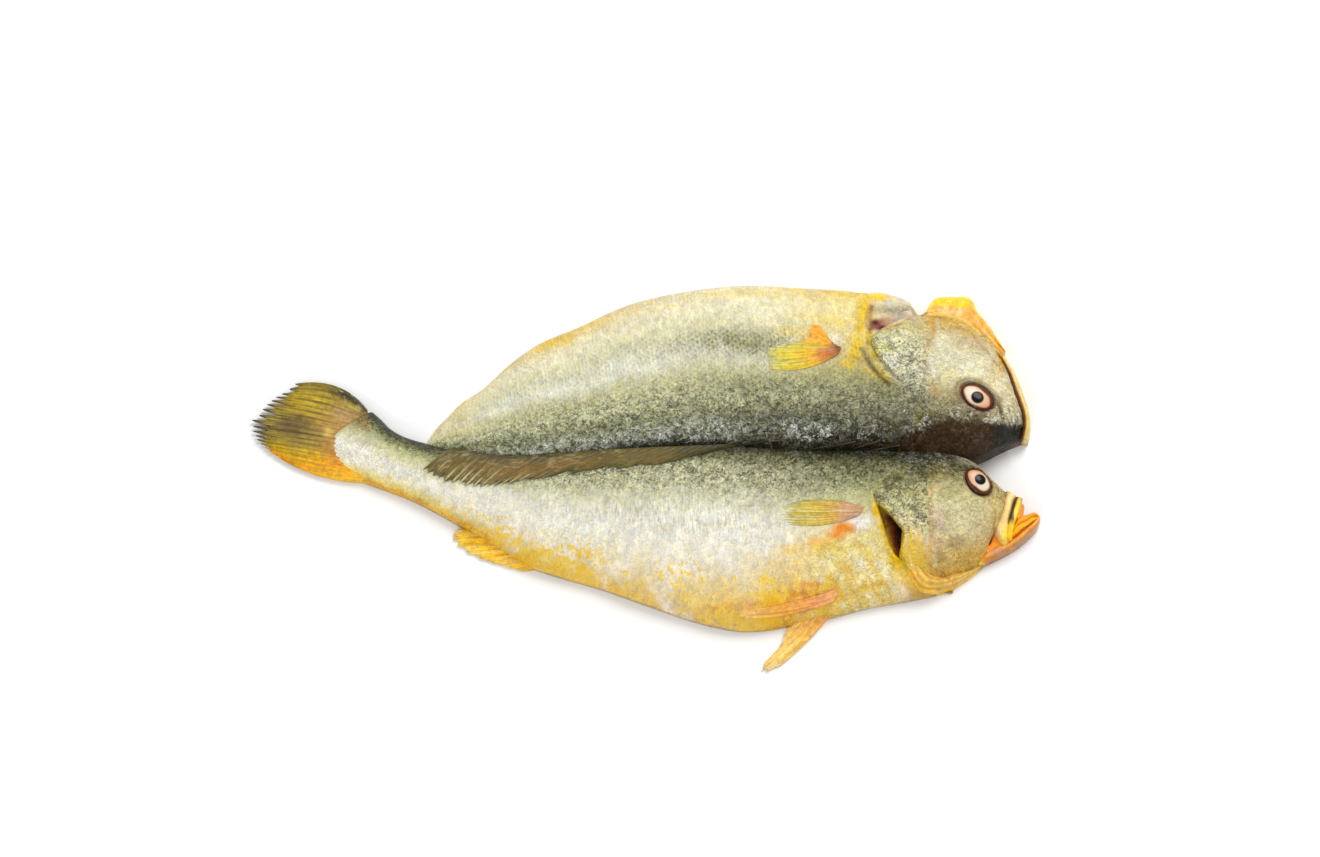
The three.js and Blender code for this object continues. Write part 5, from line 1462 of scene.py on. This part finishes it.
fins = {
    "tail_fin": {
        "base": [(0, (-106.4, 25.8)), (0.12, (-105.6, 22.5)), (0.25, (-104, 18.4)), (0.5, (-103, 11.5)),
            (0.75, (-104.5, 4.2)), (1, (-107, -3.2))],
        "tip": [(0, (-134.6, 36.6)), (0.1, (-138.6, 33)), (0.2, (-141.6, 30.6)), (0.32, (-145.6, 27.4)),
            (0.44, (-149, 22.8)), (0.56, (-150, 18.2)),
                (0.7, (-148, 14)), (0.85, (-144, 10)), (1, (-138.5, 6))],
        "bow": [(0, -4.6), (0.12, -2.8), (0.3, -1), (0.6, 0), (0.85, 0.8), (1, 2.2)],
        "notch": [(0, 0.05), (0.15, 0.16), (0.5, 0.17), (0.7, 0.08), (1, 0.02)],
        "rays": 17, "ground": flatGround(0.9), "thick": (3.4, 0.7), "ridge": 0.45, "rise": 0.6, "lift": 0.3,
        "rows": 150, "perRay": 16, "tones": tailTones,
    },
    "anal_fin": {
        "base": [(0, (-57, -21.5)), (0.33, (-50, -27.5)), (0.66, (-44, -33)), (1, (-38.5, -37.4))],
        "tip": [(0, (-71, -22)), (0.3, (-72.2, -26.4)), (0.5, (-66.4, -31)), (0.7, (-59, -34.4)),
            (1, (-46, -38.4))],
        "notch": [(0, 0.1), (0.3, 0.12), (0.55, 0.05), (1, 0.02)], "uneven": 0.06, "rays": 8,
        "ground": flatGround(0.5), "thick": (3.4, 0.7), "ridge": 0.25,
        "tones": rayTones([(0, tint(238, 164, 26)), (0.4, tint(240, 182, 26)), (0.75, tint(244, 202, 44)),
            (1, tint(246, 216, 80))], tint(226, 150, 14), 0.5, 0.3),
    },
    "pelvic_fin_splayed": {
        "base": [(0, (61, -54.5)), (0.5, (66, -53.2)), (1, (71, -53.6))],
        "tip": [(0, (52.6, -61)), (0.3, (50.4, -67.6)), (0.6, (43.8, -75)), (0.8, (44.6, -77.3)),
            (1, (49.8, -75.6))],
        "bow": [(0, 0.0), (1, 1.0)], "notch": [(0, 0.02), (1, 0.05)], "uneven": 0.03,
        "rays": 7, "ground": flatGround(0.6), "thick": (3.6, 0.7), "ridge": 0.25,
        "tones": rayTones([(0, tint(232, 164, 84)), (0.3, tint(238, 180, 96)), (0.6, tint(240, 200, 104)),
            (0.85, tint(240, 214, 130)), (1, tint(238, 220, 160))], tint(232, 160, 66), 0.45, 0.4),
    },
    "pelvic_fin_folded": {
        "base": [(0, (71, -48.8)), (0.5, (71.5, -50.5)), (1, (70, -53))],
        "tip": [(0, (36, -56.2)), (0.5, (33.6, -57.6)), (1, (36.5, -59))],
        "bow": [(0, 1.2), (1, 1.6)], "notch": [(0, 0.02), (1, 0.03)], "rays": 4, "ground": nearSkin,
        "thick": (1.4, 0.25), "ridge": 0.12, "sunk": 1.6,
        "tones": rayTones([(0, tint(240, 176, 120)), (0.3, tint(238, 166, 96)), (0.6, tint(242, 178, 76)),
            (1, tint(248, 212, 130))], tint(226, 140, 60), 0.4),
    },
    "pectoral_fin_near": {
        "base": [(0, (81.6, -18.8)), (0.5, (80.8, -20.6)), (1, (78.8, -22.4))],
        "tip": [(0, (56.4, -16.5)), (0.35, (52.8, -18.6)), (0.65, (51.8, -21.8)), (1, (54, -25.6))],
        "bow": [(0, -1.6), (0.5, 0), (1, 1.6)], "notch": [(0, 0.03), (0.5, 0.07), (1, 0.04)], "uneven": 0.05,
        "rays": 11, "ground": nearSkin, "thick": (0.9, 0.05), "ridge": 0.14,
        "tones": lambda a, r, ray, x, y: blendTo(rayTones([
            (0, tint(196, 146, 110)), (0.2, tint(214, 170, 138)), (0.36, tint(212, 170, 88)),
            (0.6, tint(212, 184, 66)), (0.85, tint(208, 190, 92)), (1, tint(204, 198, 140)),
        ], tint(150, 128, 50), 0.5, 0.45)(a, r, ray, x, y), tint(120, 96, 46), 0.4 * smooth(0.08, 0.02, a)),
    },
    "pectoral_fin_far": {
        "base": [(0, (73.4, 42)), (0.5, (74.2, 44.4)), (1, (71.6, 46))],
        "tip": [(0, (47, 35.8)), (0.25, (46.2, 40.2)), (0.45, (46.6, 44.6)), (0.6, (52.8, 46.8)),
            (0.72, (58.4, 48.2)), (0.82, (62, 50.6)), (0.9, (63.4, 55.6)), (1, (66.4, 56))],
        "bow": [(0, 3), (0.3, 1), (0.6, 0), (1, 0)], "notch": [(0, 0.04), (0.5, 0.07), (1, 0.02)],
        "uneven": 0.05,
        "rays": 13, "ground": farSkin, "thick": (1.3, 0.1), "ridge": 0.15, "lift": 0.05,
        "tones": lambda a, r, ray, x, y: paintSpots(blendTo(rayTones([
            (0, tint(150, 86, 54)), (0.15, tint(204, 134, 76)), (0.4, tint(230, 184, 50)),
            (0.66, tint(220, 200, 60)), (0.88, tint(206, 202, 96)), (1, tint(198, 200, 134)),
        ], tint(180, 146, 34), 0.4, 0.25)(a, r, ray, x, y), tint(240, 164, 56),
        0.85 * smooth(0.62, 0.84, a) * smooth(0.1, 0.3, r)), x, y, [
            (tint(206, 120, 60), 0.7, 67.6, 42, 4, 2.4), (tint(120, 62, 36), 0.7, 73, 44, 1.6, 1.8),
        ]),
    },
    "soft_dorsal_fin": {
        "base": [(0, (-74, 8.2)), (0.14, (-63, 5)), (0.3, (-45, 3.6)), (0.5, (-20, 4.6)), (0.75, (9, 5.6)),
            (1, (34, 6.6))],
        "tip": [(0, (-84.6, -2)), (0.08, (-79.5, -5)), (0.18, (-71, -7.6)), (0.28, (-63, -9.8)),
            (0.36, (-56, -9)), (0.46, (-46, -7.4)), (0.56, (-34, -5.4)),
                (0.7, (-17, -3)), (0.85, (4, -1.6)), (1, (25, 3.6))],
        "notch": [(0, 0.14), (0.3, 0.12), (0.45, 0.05), (1, 0.03)], "uneven": 0.12,
        "rays": 32, "perRay": 12,
        "ground": lambda x, y: nearSkin(x, np.minimum(y, near["backAt"](x) - 1)) + 0.1,
        "thick": (2.3, 0.7), "ridge": 0.2, "sunk": 1.0, "rim": 0.02, "tones": dorsalTones,
    },
}
finPieces = [makeFin(name, look) for name, look in fins.items()]
spineLook = {"count": 7, "length": 16, "radius": 0.34, "from": 46.0, "to": 96.0, "offset": 4.0, "sides": 8,
    "steps": 14}


def makeSpines():
    # dorsal spines folded back into the groove: thin tapering rods that lie along the far slope
    points, faces = [], []
    sides, steps = spineLook["sides"], spineLook["steps"]
    t = np.linspace(0, 1, steps)[:, None]
    angle = np.linspace(0, 2 * np.pi, sides, endpoint=False)
    for n in range(spineLook["count"]):
        rootX = mix(spineLook["from"], spineLook["to"], n / (spineLook["count"] - 1))
        x = rootX - t * spineLook["length"] * (0.8 + 0.25 * math.sin(n * 2.3))
        y = far["backAt"](x) + spineLook["offset"] - 2.2 * t + 0.7 * math.sin(n * 1.7)
        z = farSkin(x, y) + 0.1
        radius = spineLook["radius"] * (1 - 0.8 * t)
        ring = np.stack([x + 0 * angle, y + radius * np.cos(angle), z + radius * np.sin(angle)], -1)
        points.append(ring.reshape(-1, 3))
        k = n * steps * sides + np.arange(steps * sides).reshape(steps, sides)
        after = np.roll(k, -1, axis=1)
        faces.append(np.stack([k[:-1], k[1:], after[1:], after[:-1]], -1).reshape(-1, 4))
        for end, order in ((k[0], 1), (k[-1], -1)):
            faces.append(np.array([end[[0, i, i + 1, i + 2]][::order] for i in (1, 3, 5)]))
    points = np.concatenate(points)
    tone = blendTo(np.zeros(points.shape) + tint(56, 50, 28), tint(88, 74, 44),
        smooth(0.2, 0.8, noise(points[:, 0], points[:, 1], 4, 80)))
    return makePiece("dorsal_spines", points, np.concatenate(faces), finSkin, tone)


finPieces.append(makeSpines())
print("fins made")

# floor, light and camera
studio = {
    "world": 0.44, "floor": 0.97,
    "lights": {
        "key": {"at": (0.55, 0.75, 1.05), "size": 0.9, "power": 14},
        "fill": {"at": (-0.8, -0.6, 1.2), "size": 1.4, "power": 5},
        "spark": {"at": (-0.25, -1.2, 0.8), "size": 0.12, "power": 4},
    },
}


def makeFloor():
    # a white table top at height 0
    size = 3.0
    mesh = bpy.data.meshes.new("floor")
    mesh.from_pydata([(-size, -size, 0), (size, -size, 0), (size, size, 0), (-size, size, 0)], [],
        [(0, 1, 2, 3)])
    material, tree, shader = newMaterial("white_table")
    shader.inputs["Base Color"].default_value = (studio["floor"], studio["floor"], studio["floor"], 1)
    shader.inputs["Roughness"].default_value = 0.9
    shader.inputs["Specular IOR Level"].default_value = 0.0
    mesh.materials.append(material)
    floor = bpy.data.objects.new("floor", mesh)
    bpy.context.scene.collection.objects.link(floor)


def areaLight(name, place, size, power):
    # a round lamp that looks at the middle of the table
    data = bpy.data.lights.new(name, "AREA")
    data.shape = "DISK"
    data.size = size
    data.energy = power
    light = bpy.data.objects.new(name, data)
    light.location = place
    light.rotation_euler = (-Vector(place)).to_track_quat("-Z", "Y").to_euler()
    bpy.context.scene.collection.objects.link(light)


def makeStudio():
    # white surroundings and three lamps, shown without colour grading
    world = bpy.data.worlds.new("white_room")
    world.use_nodes = True
    world.node_tree.nodes["Background"].inputs[0].default_value = (1, 1, 1, 1)
    world.node_tree.nodes["Background"].inputs[1].default_value = studio["world"]
    bpy.context.scene.world = world
    for name, look in studio["lights"].items():
        areaLight(name, look["at"], look["size"], look["power"])
    bpy.context.scene.view_settings.view_transform = "Standard"
    bpy.context.scene.view_settings.look = "None"


# the picture is 1320 x 857; its middle looks at this point of the table, from 70 degrees up
shot = {"aim": (5.6, 19.0), "elevation": 70.0, "lens": 85.0, "sensor": 36.0, "pictureWidth": 505.1}


def makeCamera():
    # distance = picture width x lens / sensor, tilted down by the elevation
    tilt = math.radians(shot["elevation"])
    distance = shot["pictureWidth"] * shot["lens"] / shot["sensor"]
    data = bpy.data.cameras.new("camera")
    data.lens = shot["lens"]
    data.sensor_width = shot["sensor"]
    data.sensor_fit = "HORIZONTAL"
    data.clip_start, data.clip_end = 0.01, 20
    camera = bpy.data.objects.new("camera", data)
    ax, ay = shot["aim"]
    camera.location = (ax * mm, (ay - distance * math.cos(tilt)) * mm, distance * math.sin(tilt) * mm)
    camera.rotation_euler = (math.pi / 2 - tilt, 0, 0)
    bpy.context.scene.collection.objects.link(camera)
    bpy.context.scene.camera = camera


makeFloor()
makeStudio()
makeCamera()
print("floor, light and camera made")

for piece in [nearBody, farBody] + headPieces + finPieces:
    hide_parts("split_fish")
for piece, node in zip(eyePieces, ("eye_near", "eye_far")):
    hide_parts(node)
